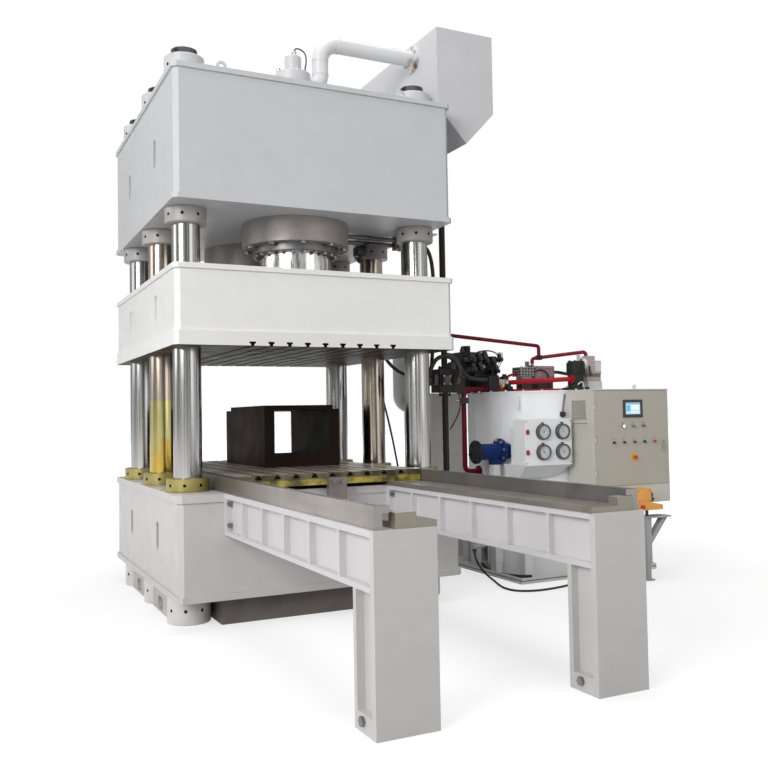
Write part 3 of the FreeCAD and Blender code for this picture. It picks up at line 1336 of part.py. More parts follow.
def make_pilot_unit():
    """The small motor on its two-step base, with a valve block at its left."""
    half = PILOT_DEPTH / 2
    body_half = PILOT_BODY_DEPTH / 2
    motor_half = PILOT_MOTOR_DEPTH / 2
    right = PILOT_LEFT + PILOT_WIDTH
    base_top = OIL_TANK_TOP + PILOT_BASE_HEIGHT
    body_top = base_top + PILOT_BODY_HEIGHT
    base = box(PILOT_LEFT, right, PILOT_Y - half, PILOT_Y + half, OIL_TANK_TOP, base_top)
    body = box(PILOT_LEFT, right, PILOT_Y - body_half, PILOT_Y + body_half, base_top, body_top)
    motor = box(PILOT_LEFT, right, PILOT_Y - motor_half, PILOT_Y + motor_half, body_top,
                pilot_top())
    valve = box(PILOT_LEFT, PILOT_LEFT + PILOT_VALVE_WIDTH, PILOT_Y - PILOT_VALVE_REACH,
                PILOT_Y, body_top, pilot_top() + PILOT_VALVE_HEIGHT)
    return joined(base, body, motor, valve)


def unit_pipes():
    crown_wall = BEAM_HALF_WIDTH - PLATE_LIP
    crown_z = CROWN_BOTTOM + CROWN_PORT_RISE
    pressure = pipe("pressure", [
        (crown_wall, CROWN_PORT_Y, crown_z), (CROWN_PORT_X, CROWN_PORT_Y, crown_z),
        (CROWN_PORT_X, CROWN_PORT_Y, PRESSURE_RUN_LOW),
        (PRESSURE_RUN_END_X, MOTOR_Y, PRESSURE_RUN_END_Z),
        (PRESSURE_RUN_END_X, MOTOR_Y, TEE_Z)], RED_PIPE_DIA, PIPE_WALL,
        (THIN_PIPE_BEND, THIN_PIPE_BEND, TIGHT_PIPE_BEND))
    pilot = pipe("pilot", [
        (MOTOR_PORT_X, MOTOR_Y, motor_top() + MOTOR_PORT_HEIGHT),
        (MOTOR_PORT_X, MOTOR_Y, PILOT_RUN_Z), (PRESSURE_RUN_END_X, MOTOR_Y, TEE_Z),
        (PILOT_RUN_END_X, PILOT_RUN_END_Y, PILOT_RUN_END_Z),
        (PILOT_RUN_END_X, PILOT_RUN_END_Y, pilot_top() + PILOT_VALVE_HEIGHT)],
        RED_PIPE_DIA, PIPE_WALL, TIGHT_PIPE_BEND)
    feed_start = FRONT_BLOCK_LEFT + FRONT_BLOCK_WIDTH + FEED_UNION_LENGTH
    feed_end = PUMP_X - PUMP_PORT_REACH
    port_y = PUMP_Y - PUMP_PORT_OFFSET
    feed = pipe("pump feed", [
        (feed_start, FEED_Y, FEED_Z), (feed_start + FEED_STRAIGHT, FEED_Y, FEED_Z),
        (feed_end - FEED_STRAIGHT, port_y, FEED_END_Z), (feed_end, port_y, FEED_END_Z)],
        FEED_PIPE_DIA, PIPE_WALL, THIN_PIPE_BEND)
    tank_x = OIL_TANK_X - math.sqrt((OIL_TANK_DIA / 2) ** 2 - (RETURN_Y - OIL_TANK_Y) ** 2)
    back = pipe("return", [
        (FRONT_BLOCK_LEFT, RETURN_Y, RETURN_Z), (RETURN_X, RETURN_Y, RETURN_Z),
        (RETURN_X, RETURN_Y, RETURN_LOW_Z), (tank_x + PIPE_WALL, RETURN_Y, RETURN_LOW_Z)],
        RETURN_PIPE_DIA, PIPE_WALL, THIN_PIPE_BEND)
    return [joined(pressure, pilot), feed, back.cut(oil_tank_core())]


def make_drain_pipe():
    """From the tip of the V down to the oil tank, with its valve block."""
    start_z = CROWN_TOP + TANK_TOP_RISE - TANK_SIDE_HEIGHT - TANK_V_DEPTH
    tank_x = OIL_TANK_X - math.sqrt((OIL_TANK_DIA / 2) ** 2 - (DRAIN_TURN_Y - OIL_TANK_Y) ** 2)
    points = [(DRAIN_X, DRAIN_Y, start_z + DRAIN_DIA), (DRAIN_X, DRAIN_Y, DRAIN_LOW_Z),
              (DRAIN_X, DRAIN_TURN_Y, DRAIN_LOW_Z),
              (tank_x + PIPE_WALL, DRAIN_TURN_Y, DRAIN_LOW_Z)]
    run = pipe("drain", points, DRAIN_DIA, PIPE_WALL, DRAIN_BEND)
    half = DRAIN_VALVE_DEPTH / 2
    valve = box(DRAIN_VALVE_LEFT, DRAIN_VALVE_LEFT + DRAIN_VALVE_WIDTH, DRAIN_Y - half,
                DRAIN_Y + half, DRAIN_VALVE_Z, DRAIN_VALVE_Z + DRAIN_VALVE_HEIGHT)
    pieces = joined(run, valve).cut(oil_tank_core()).cut(make_prefill_tank())
    return max(pieces.Solids, key=lambda solid: solid.Volume)


def make_accumulator():
    """A gas bottle with a dome at each end, on a post."""
    radius = ACCUMULATOR_DIA / 2
    x, y = ACCUMULATOR_X, ACCUMULATOR_Y
    barrel_low = ACCUMULATOR_Z + radius
    barrel_top = ACCUMULATOR_Z + ACCUMULATOR_HEIGHT - radius
    barrel = upright(ACCUMULATOR_DIA, x, y, barrel_low, barrel_top)
    domes = [Part.makeSphere(radius, V(x, y, z)) for z in (barrel_low, barrel_top)]
    neck_low = ACCUMULATOR_Z + ACCUMULATOR_HEIGHT - NUT_CHAMFER
    neck = upright(ACCUMULATOR_NECK_DIA, x, y, neck_low, neck_low + ACCUMULATOR_NECK_HEIGHT)
    half = POST_SIZE / 2
    post = box(x - half, x + half, y - half, y + half, 0, ACCUMULATOR_Z + half)
    foot_half = POST_FOOT_SIZE / 2
    foot = box(x - foot_half, x + foot_half, y - foot_half, y + foot_half, 0,
               POST_FOOT_THICKNESS)
    whole = joined(barrel, *domes, neck, post, foot)
    spindle = HAND_WHEEL_HUB_DIA / 2 + RUNNING_FIT
    hole = rod(2 * spindle, HAND_WHEEL_HUB_LENGTH / 2 + PAST, (x, y - half - PAST, HAND_WHEEL_Z),
               Y_AXIS)
    return whole.cut(hole)


def make_hand_wheel():
    """The wheel's hub turns in a hole in the post."""
    face = ACCUMULATOR_Y - POST_SIZE / 2
    x, z = ACCUMULATOR_X, HAND_WHEEL_Z
    hub = rod(HAND_WHEEL_HUB_DIA, HAND_WHEEL_HUB_LENGTH,
              (x, face - HAND_WHEEL_HUB_LENGTH / 2 - OPEN_PLAY, z), Y_AXIS)
    disc_y = face - HAND_WHEEL_HUB_LENGTH / 2 - OPEN_PLAY
    disc = rod(HAND_WHEEL_DIA, HAND_WHEEL_THICKNESS, (x, disc_y, z), Y_AXIS)
    holes = []
    for k in range(HAND_WHEEL_HOLES):
        turn = 2 * math.pi * k / HAND_WHEEL_HOLES
        reach = HAND_WHEEL_HOLE_CIRCLE / 2
        holes.append(rod(HAND_WHEEL_HOLE_DIA, HAND_WHEEL_THICKNESS + 2 * PAST,
                         (x + reach * math.cos(turn), disc_y - PAST, z + reach * math.sin(turn)),
                         Y_AXIS))
    return joined(without(disc, holes), hub)


# ------------------------------------------------------------------ controls

def hinge_knuckle(z, side):
    """A knuckle on the hinge line, with its leaf back to the sheet."""
    top = z + HINGE_KNUCKLE_HEIGHT
    barrel = upright(HINGE_KNUCKLE_DIA, HINGE_X, HINGE_Y, z, top)
    leaf = box(HINGE_X, HINGE_X + side * HINGE_LEAF, HINGE_Y, CABINET_FRONT, z, top)
    return joined(barrel, leaf)


def make_cabinet():
    """An open-fronted housing; the door sits flush in its front."""
    wall = CABINET_WALL
    outer = box(CABINET_LEFT, CABINET_RIGHT, CABINET_FRONT, CABINET_BACK, CABINET_Z,
                CABINET_TOP)
    inner = box(CABINET_LEFT + wall, CABINET_RIGHT - wall,
                CABINET_FRONT + DOOR_THICKNESS + DOOR_GAP, CABINET_BACK - wall,
                CABINET_Z + wall, CABINET_TOP - wall)
    recess = box(DOOR_LEFT - DOOR_GAP, DOOR_RIGHT + DOOR_GAP, CABINET_FRONT - PAST,
                 CABINET_FRONT + DOOR_THICKNESS, DOOR_BOTTOM - DOOR_GAP, DOOR_TOP + DOOR_GAP)
    mouth = box(CABINET_LEFT + CABINET_FRAME, CABINET_RIGHT - CABINET_FRAME, CABINET_FRONT - PAST,
                CABINET_FRONT + DOOR_THICKNESS + DOOR_GAP + PAST,
                DOOR_BOTTOM - DOOR_MARGIN + CABINET_FRAME, CABINET_TOP - CABINET_FRAME)
    vent = box(CABINET_LEFT - PAST, CABINET_LEFT + VENT_RECESS, VENT_Y, VENT_Y + VENT_DEPTH,
               VENT_Z, VENT_Z + VENT_HEIGHT)
    stand = box(CABINET_STAND_LEFT, CABINET_STAND_LEFT + CABINET_STAND_WIDTH,
                TRAY_FRONT + TRAY_WALL, TRAY_FRONT + TRAY_WALL + CABINET_STAND_DEPTH,
                TRAY_FLOOR, CABINET_Z)
    cable_end = CABLE_ROUTE[-1]
    gland = upright(CONDUIT_DIA, cable_end[0], cable_end[1], cable_end[2], CABINET_Z)
    shell = outer.cut(inner).cut(recess).cut(mouth).cut(vent)
    knuckles = [hinge_knuckle(z - HINGE_KNUCKLE_HEIGHT, -1) for z in HINGE_HEIGHTS]
    holes = [upright(HINGE_PIN_DIA + 2 * RUNNING_FIT, HINGE_X, HINGE_Y,
                     z - HINGE_PIN_LENGTH - PAST, z + PAST) for z in HINGE_HEIGHTS]
    return without(joined(shell, stand, gland, *knuckles), holes)


def control_places():
    return [(CONTROL_X + k * CONTROL_PITCH, CONTROL_Z) for k in range(CONTROLS)]


def make_door():
    """A sheet pan with the lamps on it and holes for the controls."""
    outer = box(DOOR_LEFT, DOOR_RIGHT, CABINET_FRONT, CABINET_FRONT + DOOR_THICKNESS - DOOR_SEAT_GAP,
                DOOR_BOTTOM, DOOR_TOP)
    pan = box(DOOR_LEFT + DOOR_FLANGE, DOOR_RIGHT - DOOR_FLANGE, CABINET_FRONT + DOOR_SHEET,
              CABINET_FRONT + DOOR_THICKNESS, DOOR_BOTTOM + DOOR_FLANGE,
              DOOR_TOP - DOOR_FLANGE)
    lamps = [rod(LAMP_DIA, LAMP_DEPTH + DOOR_SHEET,
                 (LAMP_X + k * LAMP_PITCH, CABINET_FRONT - LAMP_DEPTH, LAMP_Z), Y_AXIS)
             for k in range(SIGNAL_LAMPS)]
    half = STOP_PLATE_SIZE / 2
    plate = box(STOP_X - half, STOP_X + half, CABINET_FRONT - STOP_PLATE_DEPTH, CABINET_FRONT,
                STOP_Z - half, STOP_Z + half)
    collars = [rod(CONTROL_COLLAR_DIA, CONTROL_COLLAR_DEPTH,
                   (x, CABINET_FRONT - CONTROL_COLLAR_DEPTH, z), Y_AXIS)
               for x, z in control_places()]
    grip = HANDLE_PLATE_WIDTH / 2
    handle_plate = box(HANDLE_X - grip, HANDLE_X + grip, CABINET_FRONT - HANDLE_PLATE_DEPTH,
                       CABINET_FRONT, HANDLE_Z - HANDLE_PLATE_HEIGHT / 2,
                       HANDLE_Z + HANDLE_PLATE_HEIGHT / 2)
    stem = CONTROL_STEM_DIA + 2 * RUNNING_FIT
    holes = [rod(stem, CONTROL_STEM_LENGTH + 2 * CONTROL_COLLAR_DEPTH,
                 (x, CABINET_FRONT - 2 * CONTROL_COLLAR_DEPTH, z), Y_AXIS)
             for x, z in control_places() + [(STOP_X, STOP_Z)]]
    holes.append(rod(HANDLE_SHAFT_DIA + 2 * RUNNING_FIT, DOOR_THICKNESS * 2,
                     (HANDLE_X, CABINET_FRONT - 2 * HANDLE_PLATE_DEPTH, handle_pivot_z()),
                     Y_AXIS))
    screen_hole = box(SCREEN_LEFT + SCREEN_PROUD, SCREEN_LEFT + SCREEN_WIDTH - SCREEN_PROUD,
                      CABINET_FRONT - PAST, CABINET_FRONT + DOOR_THICKNESS,
                      SCREEN_Z + SCREEN_PROUD, SCREEN_Z + SCREEN_HEIGHT - SCREEN_PROUD)
    sheet = outer.cut(pan).cut(screen_hole)
    hinges = []
    for z in HINGE_HEIGHTS:
        hinges.append(hinge_knuckle(z, 1))
        hinges.append(upright(HINGE_PIN_DIA, HINGE_X, HINGE_Y, z - HINGE_PIN_LENGTH, z + PAST))
    return without(joined(sheet, plate, handle_plate, *lamps, *collars, *hinges), holes)


def handle_pivot_z():
    return HANDLE_Z + HANDLE_LENGTH / 2 - HANDLE_WIDTH / 2


def make_door_handle():
    """A lever that hangs down from its pivot."""
    face = CABINET_FRONT - HANDLE_PLATE_DEPTH - OPEN_PLAY
    half = HANDLE_WIDTH / 2
    z = handle_pivot_z()
    lever = box(HANDLE_X - half, HANDLE_X + half, face - HANDLE_DEPTH, face,
                z - HANDLE_LENGTH + HANDLE_WIDTH, z)
    hub = rod(HANDLE_WIDTH, HANDLE_DEPTH, (HANDLE_X, face - HANDLE_DEPTH, z), Y_AXIS)
    shaft = rod(HANDLE_SHAFT_DIA, HANDLE_PLATE_DEPTH + DOOR_THICKNESS / 2,
                (HANDLE_X, face, z), Y_AXIS)
    return joined(lever, hub, shaft)


def make_touch_panel():
    face = CABINET_FRONT - SCREEN_PROUD
    bezel = box(SCREEN_LEFT, SCREEN_LEFT + SCREEN_WIDTH, face, CABINET_FRONT, SCREEN_Z,
                SCREEN_Z + SCREEN_HEIGHT)
    inset = SCREEN_PROUD + BOLT_PLAY
    back = box(SCREEN_LEFT + inset, SCREEN_LEFT + SCREEN_WIDTH - inset, CABINET_FRONT,
               CABINET_FRONT + SCREEN_BACK, SCREEN_Z + inset, SCREEN_Z + SCREEN_HEIGHT - inset)
    return joined(bezel, back)


def make_selector(x, z):
    """A turning knob on a stem through its collar."""
    face = CABINET_FRONT - CONTROL_COLLAR_DEPTH - OPEN_PLAY
    stem = rod(CONTROL_STEM_DIA, CONTROL_STEM_LENGTH, (x, face, z), Y_AXIS)
    disc = rod(BUTTON_DIA, BUTTON_DEPTH, (x, face - BUTTON_DEPTH, z), Y_AXIS)
    half = SELECTOR_KNOB_WIDTH / 2
    grip = box(x - half, x + half, face - SELECTOR_KNOB_DEPTH, face - BUTTON_DEPTH,
               z - BUTTON_DIA / 2 + NEEDLE_THICKNESS, z + BUTTON_DIA / 2 - NEEDLE_THICKNESS)
    return joined(stem, disc, grip)


def make_push_button(x, z):
    """A flat button that stands off its collar by its travel."""
    face = CABINET_FRONT - CONTROL_COLLAR_DEPTH
    stem = rod(CONTROL_STEM_DIA, CONTROL_STEM_LENGTH + BUTTON_DEPTH,
               (x, face - BUTTON_TRAVEL - BUTTON_DEPTH, z), Y_AXIS)
    cap = rod(BUTTON_DIA, BUTTON_DEPTH,
              (x, face - BUTTON_TRAVEL - OPEN_PLAY - BUTTON_DEPTH, z), Y_AXIS)
    return joined(stem, cap)


def mushroom(x, face, z, stem_length):
    """A mushroom head on a stem that goes back through the face."""
    neck = rod(CONTROL_STEM_DIA, MUSHROOM_NECK_DEPTH + stem_length,
               (x, face - MUSHROOM_NECK_DEPTH, z), Y_AXIS)
    head_face = face - MUSHROOM_NECK_DEPTH - MUSHROOM_DEPTH
    head = rod(MUSHROOM_DIA, MUSHROOM_DEPTH, (x, head_face, z), Y_AXIS)
    front_edges = [edge for edge in head.Edges
                   if abs(edge.BoundBox.YMax - head_face) < 0.01
                   and abs(edge.BoundBox.YMin - head_face) < 0.01]
    return joined(head.makeFillet(MUSHROOM_FILLET, front_edges), neck)


def make_console_stand():
    post_right = STAND_POST_LEFT + STAND_POST_WIDTH
    half = STAND_POST_WIDTH / 2
    plate_right = STAND_POST_LEFT + STAND_PLATE_WIDTH
    plate_top = STAND_PLATE_Z + STAND_PLATE_THICKNESS
    post = box(STAND_POST_LEFT, post_right, CONSOLE_Y - half, CONSOLE_Y + half,
               STAND_SLEEVE_END, plate_top)
    plate = box(STAND_POST_LEFT, plate_right, CONSOLE_Y - CONSOLE_DEPTH / 2,
                CONSOLE_Y + CONSOLE_DEPTH / 2, STAND_PLATE_Z, plate_top)
    brace = prism([(post_right - PAST, CONSOLE_Y - half, STAND_BRACE_Z),
                   (post_right - PAST, CONSOLE_Y - half, STAND_BRACE_Z + 2 * STAND_BRACE_THICKNESS),
                   (plate_right - 2 * STAND_BRACE_THICKNESS, CONSOLE_Y - half, STAND_PLATE_Z),
                   (plate_right, CONSOLE_Y - half, STAND_PLATE_Z)],
                  Y_AXIS * STAND_POST_WIDTH)
    foot_half = STAND_FOOT_WIDTH / 2
    middle = (STAND_POST_LEFT + post_right) / 2
    foot = box(middle - foot_half, middle + foot_half, CONSOLE_Y - foot_half,
               CONSOLE_Y + foot_half, 0, STAND_FOOT_THICKNESS)
    tube_half = STAND_TUBE_WIDTH / 2
    tube = box(middle - tube_half, middle + tube_half, CONSOLE_Y - tube_half,
               CONSOLE_Y + tube_half, 0, STAND_SLEEVE_END + STAND_POST_WIDTH)
    stem = upright(STEM_DIA, middle, CONSOLE_Y, plate_top, CONSOLE_Z)
    return joined(post, tube, plate, brace, foot, stem)


def make_console_box():
    """A low box with a turret at its left; its right end slopes down."""
    right = CONSOLE_LEFT + CONSOLE_WIDTH
    turret_right = CONSOLE_LEFT + TURRET_WIDTH
    y = CONSOLE_FRONT
    body = prism([(CONSOLE_LEFT, y, CONSOLE_Z), (right, y, CONSOLE_Z),
                  (right, y, CONSOLE_BASE_TOP - CONSOLE_SLOPE),
                  (turret_right, y, CONSOLE_BASE_TOP), (turret_right, y, TURRET_TOP),
                  (CONSOLE_LEFT, y, TURRET_TOP)], Y_AXIS * CONSOLE_DEPTH)
    hole = PALM_NECK_DIA + 2 * RUNNING_FIT
    deep = BUTTON_STEM + BUTTON_HOLE_SPARE
    left_hole = rod(hole, deep + PAST, (CONSOLE_LEFT - PAST, PALM_Y, PALM_Z), X_AXIS)
    right_hole = rod(hole, deep + PAST, (turret_right + PAST, PALM_Y, PALM_Z), X_AXIS * -1)
    stop_hole = rod(CONTROL_STEM_DIA + 2 * RUNNING_FIT, deep + MUSHROOM_NECK_DEPTH,
                    (CONSOLE_STOP_X, CONSOLE_FRONT - PAST, CONSOLE_STOP_Z), Y_AXIS)
    return body.cut(left_hole).cut(right_hole).cut(stop_hole)


def make_palm_button(face_x, inward):
    """A palm button on the turret's side; its neck slides into the turret."""
    axis = X_AXIS * inward
    start = face_x - inward * (PALM_NECK_LENGTH + PALM_DEPTH)
    head = rod(PALM_DIA, PALM_DEPTH, (start, PALM_Y, PALM_Z), axis)
    edges = [edge for edge in head.Edges if abs(edge.BoundBox.XMax - start) < 0.01
             and abs(edge.BoundBox.XMin - start) < 0.01]
    head = head.makeFillet(PALM_FILLET, edges)
    neck_start = face_x - inward * PALM_NECK_LENGTH
    neck = rod(PALM_NECK_DIA, PALM_NECK_LENGTH + PALM_NECK_ENGAGEMENT,
               (neck_start, PALM_Y, PALM_Z), axis)
    return joined(head, neck)


def make_floor_cable():
    path, radii = bent_path(CABLE_ROUTE, None)
    cable = swept(path, CABLE_ROUTE, CABLE_DIA)
    section = math.pi * (CABLE_DIA / 2) ** 2
    print("  cable length", round(path.Length), "radii", radii,
          "volume ratio", round(cable.Volume / (section * path.Length), 4))
    return cable


# ------------------------------------------------------------------- output

save("base", make_base())
save("base_plinth", make_plinth())
save("columns", [make_column(x, y) for x, y in COLUMN_PLACES])
save("column_top_nuts", nuts(TOP_NUT_DIA, TOP_NUT_HEIGHT, CROWN_TOP))
save("upper_column_nuts", nuts(UPPER_NUT_DIA, UPPER_NUT_HEIGHT, CROWN_BOTTOM - UPPER_NUT_HEIGHT))
save("lower_column_nuts", nuts(LOWER_NUT_DIA, LOWER_NUT_HEIGHT, BASE_TOP))
save("foot_nuts", nuts(FOOT_NUT_DIA, FOOT_HEIGHT, 0))
save("crown", make_crown())
save("lifting_eyes", lifting_eyes())
save("front_main_cylinder", make_cylinder(-CYLINDER_Y))
save("rear_main_cylinder", make_cylinder(CYLINDER_Y))
save("gland_rings", [make_gland_ring(side * CYLINDER_Y) for side in (-1, 1)])
save("hex_bolts", hex_bolts())
save("prefill_valves", [make_prefill_valve(side * CYLINDER_Y) for side in (-1, 1)])
save("prefill_tank", make_prefill_tank())
save("suction_pipes", [make_suction_pipe(side * CYLINDER_Y) for side in (-1, 1)])

save("slide", make_slide())
save("slide_t_slot_plate", make_slot_plate())
save("main_rams", [make_ram(side * CYLINDER_Y) for side in (-1, 1)])

save("moving_table", make_table())
save("table_bracket", make_table_bracket())
save("raising_box", make_raising_box())
save("guide_bars", guide_bars())
save("table_tracks", table_tracks())
print("  the table's travel", TABLE_TRAVEL)
arm = make_arm()
leg = make_leg()
save("right_arm", arm)
save("left_arm", mirrored(arm))
save("arm_legs", [leg, mirrored(leg)])

save("drip_tray", make_drip_tray())
save("oil_tank", make_oil_tank())
save("gauge_panel", make_gauge_panel())
for name, (x, z), turn in zip(("low_left_needle", "low_right_needle", "high_left_needle",
                               "high_right_needle"), gauge_places(), NEEDLE_TURNS):
    save(name, make_needle(x, z, turn))
save("oil_filter", make_filter())
save("valve_stand", make_valve_stand())
save("valve_manifold", make_manifold())
save("pump_motor", make_pump_motor())
save("main_pump", make_main_pump())
save("pilot_unit", make_pilot_unit())
save("unit_pipes", unit_pipes())
save("drain_pipe", make_drain_pipe())
save("accumulator", make_accumulator())
save("hand_wheel", make_hand_wheel())

save("cabinet", make_cabinet())
save("cabinet_door", make_door())
save("door_handle", make_door_handle())
save("touch_panel", make_touch_panel())
controls = control_places()
for name, place in zip(("power_selector", "mode_selector", "slide_selector",
                        "table_selector"), controls):
    save(name, make_selector(*place))
save("red_button", make_push_button(*controls[-1]))
save("cabinet_emergency_stop", mushroom(STOP_X, CABINET_FRONT - STOP_PLATE_DEPTH, STOP_Z,
                                        CONTROL_STEM_LENGTH))
save("console_stand", make_console_stand())
save("console_box", make_console_box())
save("left_palm_button", make_palm_button(CONSOLE_LEFT, 1))
save("right_palm_button", make_palm_button(CONSOLE_LEFT + TURRET_WIDTH, -1))
save("console_emergency_stop", mushroom(CONSOLE_STOP_X, CONSOLE_FRONT, CONSOLE_STOP_Z,
                                        BUTTON_STEM))
save("floor_cable", make_floor_cable())
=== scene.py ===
# %% [markdown]
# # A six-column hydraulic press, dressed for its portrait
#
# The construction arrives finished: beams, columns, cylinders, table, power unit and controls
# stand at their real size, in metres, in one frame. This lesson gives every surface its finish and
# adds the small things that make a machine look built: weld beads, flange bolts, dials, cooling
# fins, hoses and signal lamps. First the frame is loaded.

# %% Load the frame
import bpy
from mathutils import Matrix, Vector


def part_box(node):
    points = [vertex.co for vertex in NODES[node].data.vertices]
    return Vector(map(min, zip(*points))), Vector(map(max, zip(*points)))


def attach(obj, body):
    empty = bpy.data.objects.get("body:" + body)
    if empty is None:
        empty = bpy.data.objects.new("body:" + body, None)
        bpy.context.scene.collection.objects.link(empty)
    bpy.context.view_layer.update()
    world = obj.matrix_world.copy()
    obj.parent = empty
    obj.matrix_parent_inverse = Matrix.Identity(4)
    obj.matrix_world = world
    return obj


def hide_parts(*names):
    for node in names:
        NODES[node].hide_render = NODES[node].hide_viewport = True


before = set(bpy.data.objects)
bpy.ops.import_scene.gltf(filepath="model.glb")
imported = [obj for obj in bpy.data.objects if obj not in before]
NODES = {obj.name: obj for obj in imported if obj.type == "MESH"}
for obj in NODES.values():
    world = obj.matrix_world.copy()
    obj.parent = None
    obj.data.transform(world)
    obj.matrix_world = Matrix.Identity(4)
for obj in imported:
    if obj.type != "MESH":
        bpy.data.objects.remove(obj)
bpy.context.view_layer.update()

import math
import bmesh
import bpy
from mathutils import Matrix, Vector

# %% [markdown]
# ## The camera
#
# The photograph was taken at eye height, from the front and a little to the
# left. A camera could be placed by trial, but the columns, the beams' edges and
# the T-slots give enough straight lines to work it out: where it stands, where
# it looks, and how long its lens is.

# %% Camera
EYE = (-2.6457, -7.7281, 1.5477)
HEADING = 0.4551                # radians, from straight back towards +X
TILT = 0.0375                   # up
ROLL = -0.0177
LENS = 41.17                    # on a 36 mm sensor


def camera_axes(heading, tilt, roll):
    """The camera's right, up and back directions."""
    forward = Vector((math.sin(heading) * math.cos(tilt),
                      math.cos(heading) * math.cos(tilt), math.sin(tilt)))
    level = Vector((math.cos(heading), -math.sin(heading), 0))
    above = level.cross(forward)
    right = level * math.cos(roll) + above * math.sin(roll)
    up = above * math.cos(roll) - level * math.sin(roll)
    return right, up, -forward


def deselect():
    bpy.ops.object.select_all(action="DESELECT")


def pick(piece):
    """Choose one piece alone and make it the active one."""
    deselect()
    piece.select_set(True)
    bpy.context.view_layer.objects.active = piece


deselect()
bpy.ops.object.camera_add(location=EYE)
camera = bpy.context.object
camera.name = "camera"
camera.data.sensor_width = 36
camera.data.lens = LENS
camera.data.clip_end = 200
right, up, back = camera_axes(HEADING, TILT, ROLL)
camera.matrix_world = Matrix.Translation(EYE) @ Matrix((right, up, back)).transposed().to_4x4()
bpy.context.scene.camera = camera
bpy.context.scene.view_settings.view_transform = "Standard"
print("camera at", EYE, "lens", LENS)

# %% [markdown]
# ## The floor cable
#
# A black cable leaves the conduit of the terminal box, drops to the floor,
# makes a loose bow in front of the tray and rises into the cabinet. It could be
# a chain of straight tubes, but a real cable has no corners, so it starts as
# one smooth NURBS line over the same control points as the solid it replaces.
# The points of that line are kept as the cable's path before it becomes a tube.

# %% A round line
def nurbs_line(name, points, diameter, resolution=10):
    """A smooth round line over its control points."""
    curve = bpy.data.curves.new(name, "CURVE")
    curve.dimensions = "3D"
    curve.bevel_depth = diameter / 2
    curve.bevel_resolution = 4
    curve.use_fill_caps = True
    curve.resolution_u = resolution
    spline = curve.splines.new("NURBS")
    spline.points.add(len(points) - 1)
    for control, point in zip(spline.points, points):
        control.co = (*point, 1)
    spline.order_u = 3
    spline.use_endpoint_u = True
    line = bpy.data.objects.new(name, curve)
    bpy.context.collection.objects.link(line)
    return line


# %% Floor cable
CABLE_DIAMETER = 0.02
CABLE_ROUTE = [
    (1.855, -0.45, 0.262), (1.855, -0.45, 0.18), (1.88, -0.52, 0.08), (1.885, -0.64, 0.026),
    (1.85, -0.8, 0.011), (1.786, -0.96, 0.011), (1.738, -1.12, 0.011), (1.748, -1.27, 0.011),
    (1.86, -1.352, 0.011), (2.03, -1.368, 0.011), (2.23, -1.33, 0.011), (2.44, -1.268, 0.011),
    (2.62, -1.22, 0.024), (2.77, -1.196, 0.09), (2.838, -1.19, 0.25), (2.843, -1.188, 0.43),
    (2.85, -1.19, 0.56), (2.85, -1.19, 0.67)]
line = nurbs_line("floor_cable_line", CABLE_ROUTE, 0.0)
CABLE_PATH = [tuple(point.co) for point in bpy.data.meshes.new_from_object(line).vertices]
line.data.bevel_depth = CABLE_DIAMETER / 2
pick(line)
bpy.ops.object.convert(target="MESH")
cable = bpy.context.object
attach(cable, "press_frame")
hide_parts("floor_cable")

# %% [markdown]
# ## Floor, sky and lamps
#
# The machine stands on a white studio floor. The floor is a real surface that
# catches shadow; a light that only the camera and mirrors see lifts it, a
# little near the machine and fully far away, so that no horizon shows. It
# could simply be brighter paint, but then it would throw that light up at the
# undersides, which are dark in the photograph.

# %% Shader helpers
def shader_nodes(owner):
    """An empty node tree for a material or a world."""
    owner.use_nodes = True
    tree = owner.node_tree
    tree.nodes.clear()
    return tree


def link(tree, source, target):
    tree.links.new(source, target)


# %% Floor
FLOOR_SIZE = 120
FLOOR_DROP = 0.0006             # keeps the floor just under the feet
FLOOR_GREY = 0.42
LIFT_MIDDLE = (1.2, -0.8, 0)
LIFT_NEAR, LIFT_FAR = 0.62, 1.0
NEAR_REACH, FAR_REACH = 3.2, 8.5
deselect()
bpy.ops.mesh.primitive_plane_add(size=FLOOR_SIZE, location=(0, 0, -FLOOR_DROP))
floor = bpy.context.object
floor.name = "floor"
floor_white = bpy.data.materials.new("floor_white")
tree = shader_nodes(floor_white)
surface = tree.nodes.new("ShaderNodeOutputMaterial")
both = tree.nodes.new("ShaderNodeAddShader")
matt = tree.nodes.new("ShaderNodeBsdfDiffuse")
matt.inputs["Color"].default_value = (FLOOR_GREY, FLOOR_GREY, FLOOR_GREY, 1)
glow = tree.nodes.new("ShaderNodeEmission")
seen = tree.nodes.new("ShaderNodeLightPath")
seen_or_mirrored = tree.nodes.new("ShaderNodeMath")
seen_or_mirrored.operation = "MAXIMUM"
place = tree.nodes.new("ShaderNodeTexCoord")
away = tree.nodes.new("ShaderNodeVectorMath")
away.operation = "DISTANCE"
away.inputs[1].default_value = LIFT_MIDDLE
grow = tree.nodes.new("ShaderNodeMapRange")
for socket, value in (("From Min", NEAR_REACH), ("From Max", FAR_REACH),
                      ("To Min", LIFT_NEAR), ("To Max", LIFT_FAR)):
    grow.inputs[socket].default_value = value
lift = tree.nodes.new("ShaderNodeMath")
lift.operation = "MULTIPLY"
link(tree, seen.outputs["Is Camera Ray"], seen_or_mirrored.inputs[0])
link(tree, seen.outputs["Is Glossy Ray"], seen_or_mirrored.inputs[1])
link(tree, place.outputs["Object"], away.inputs[0])
link(tree, away.outputs["Value"], grow.inputs["Value"])
link(tree, grow.outputs["Result"], lift.inputs[0])
link(tree, seen_or_mirrored.outputs[0], lift.inputs[1])
link(tree, lift.outputs[0], glow.inputs["Strength"])
link(tree, matt.outputs[0], both.inputs[0])
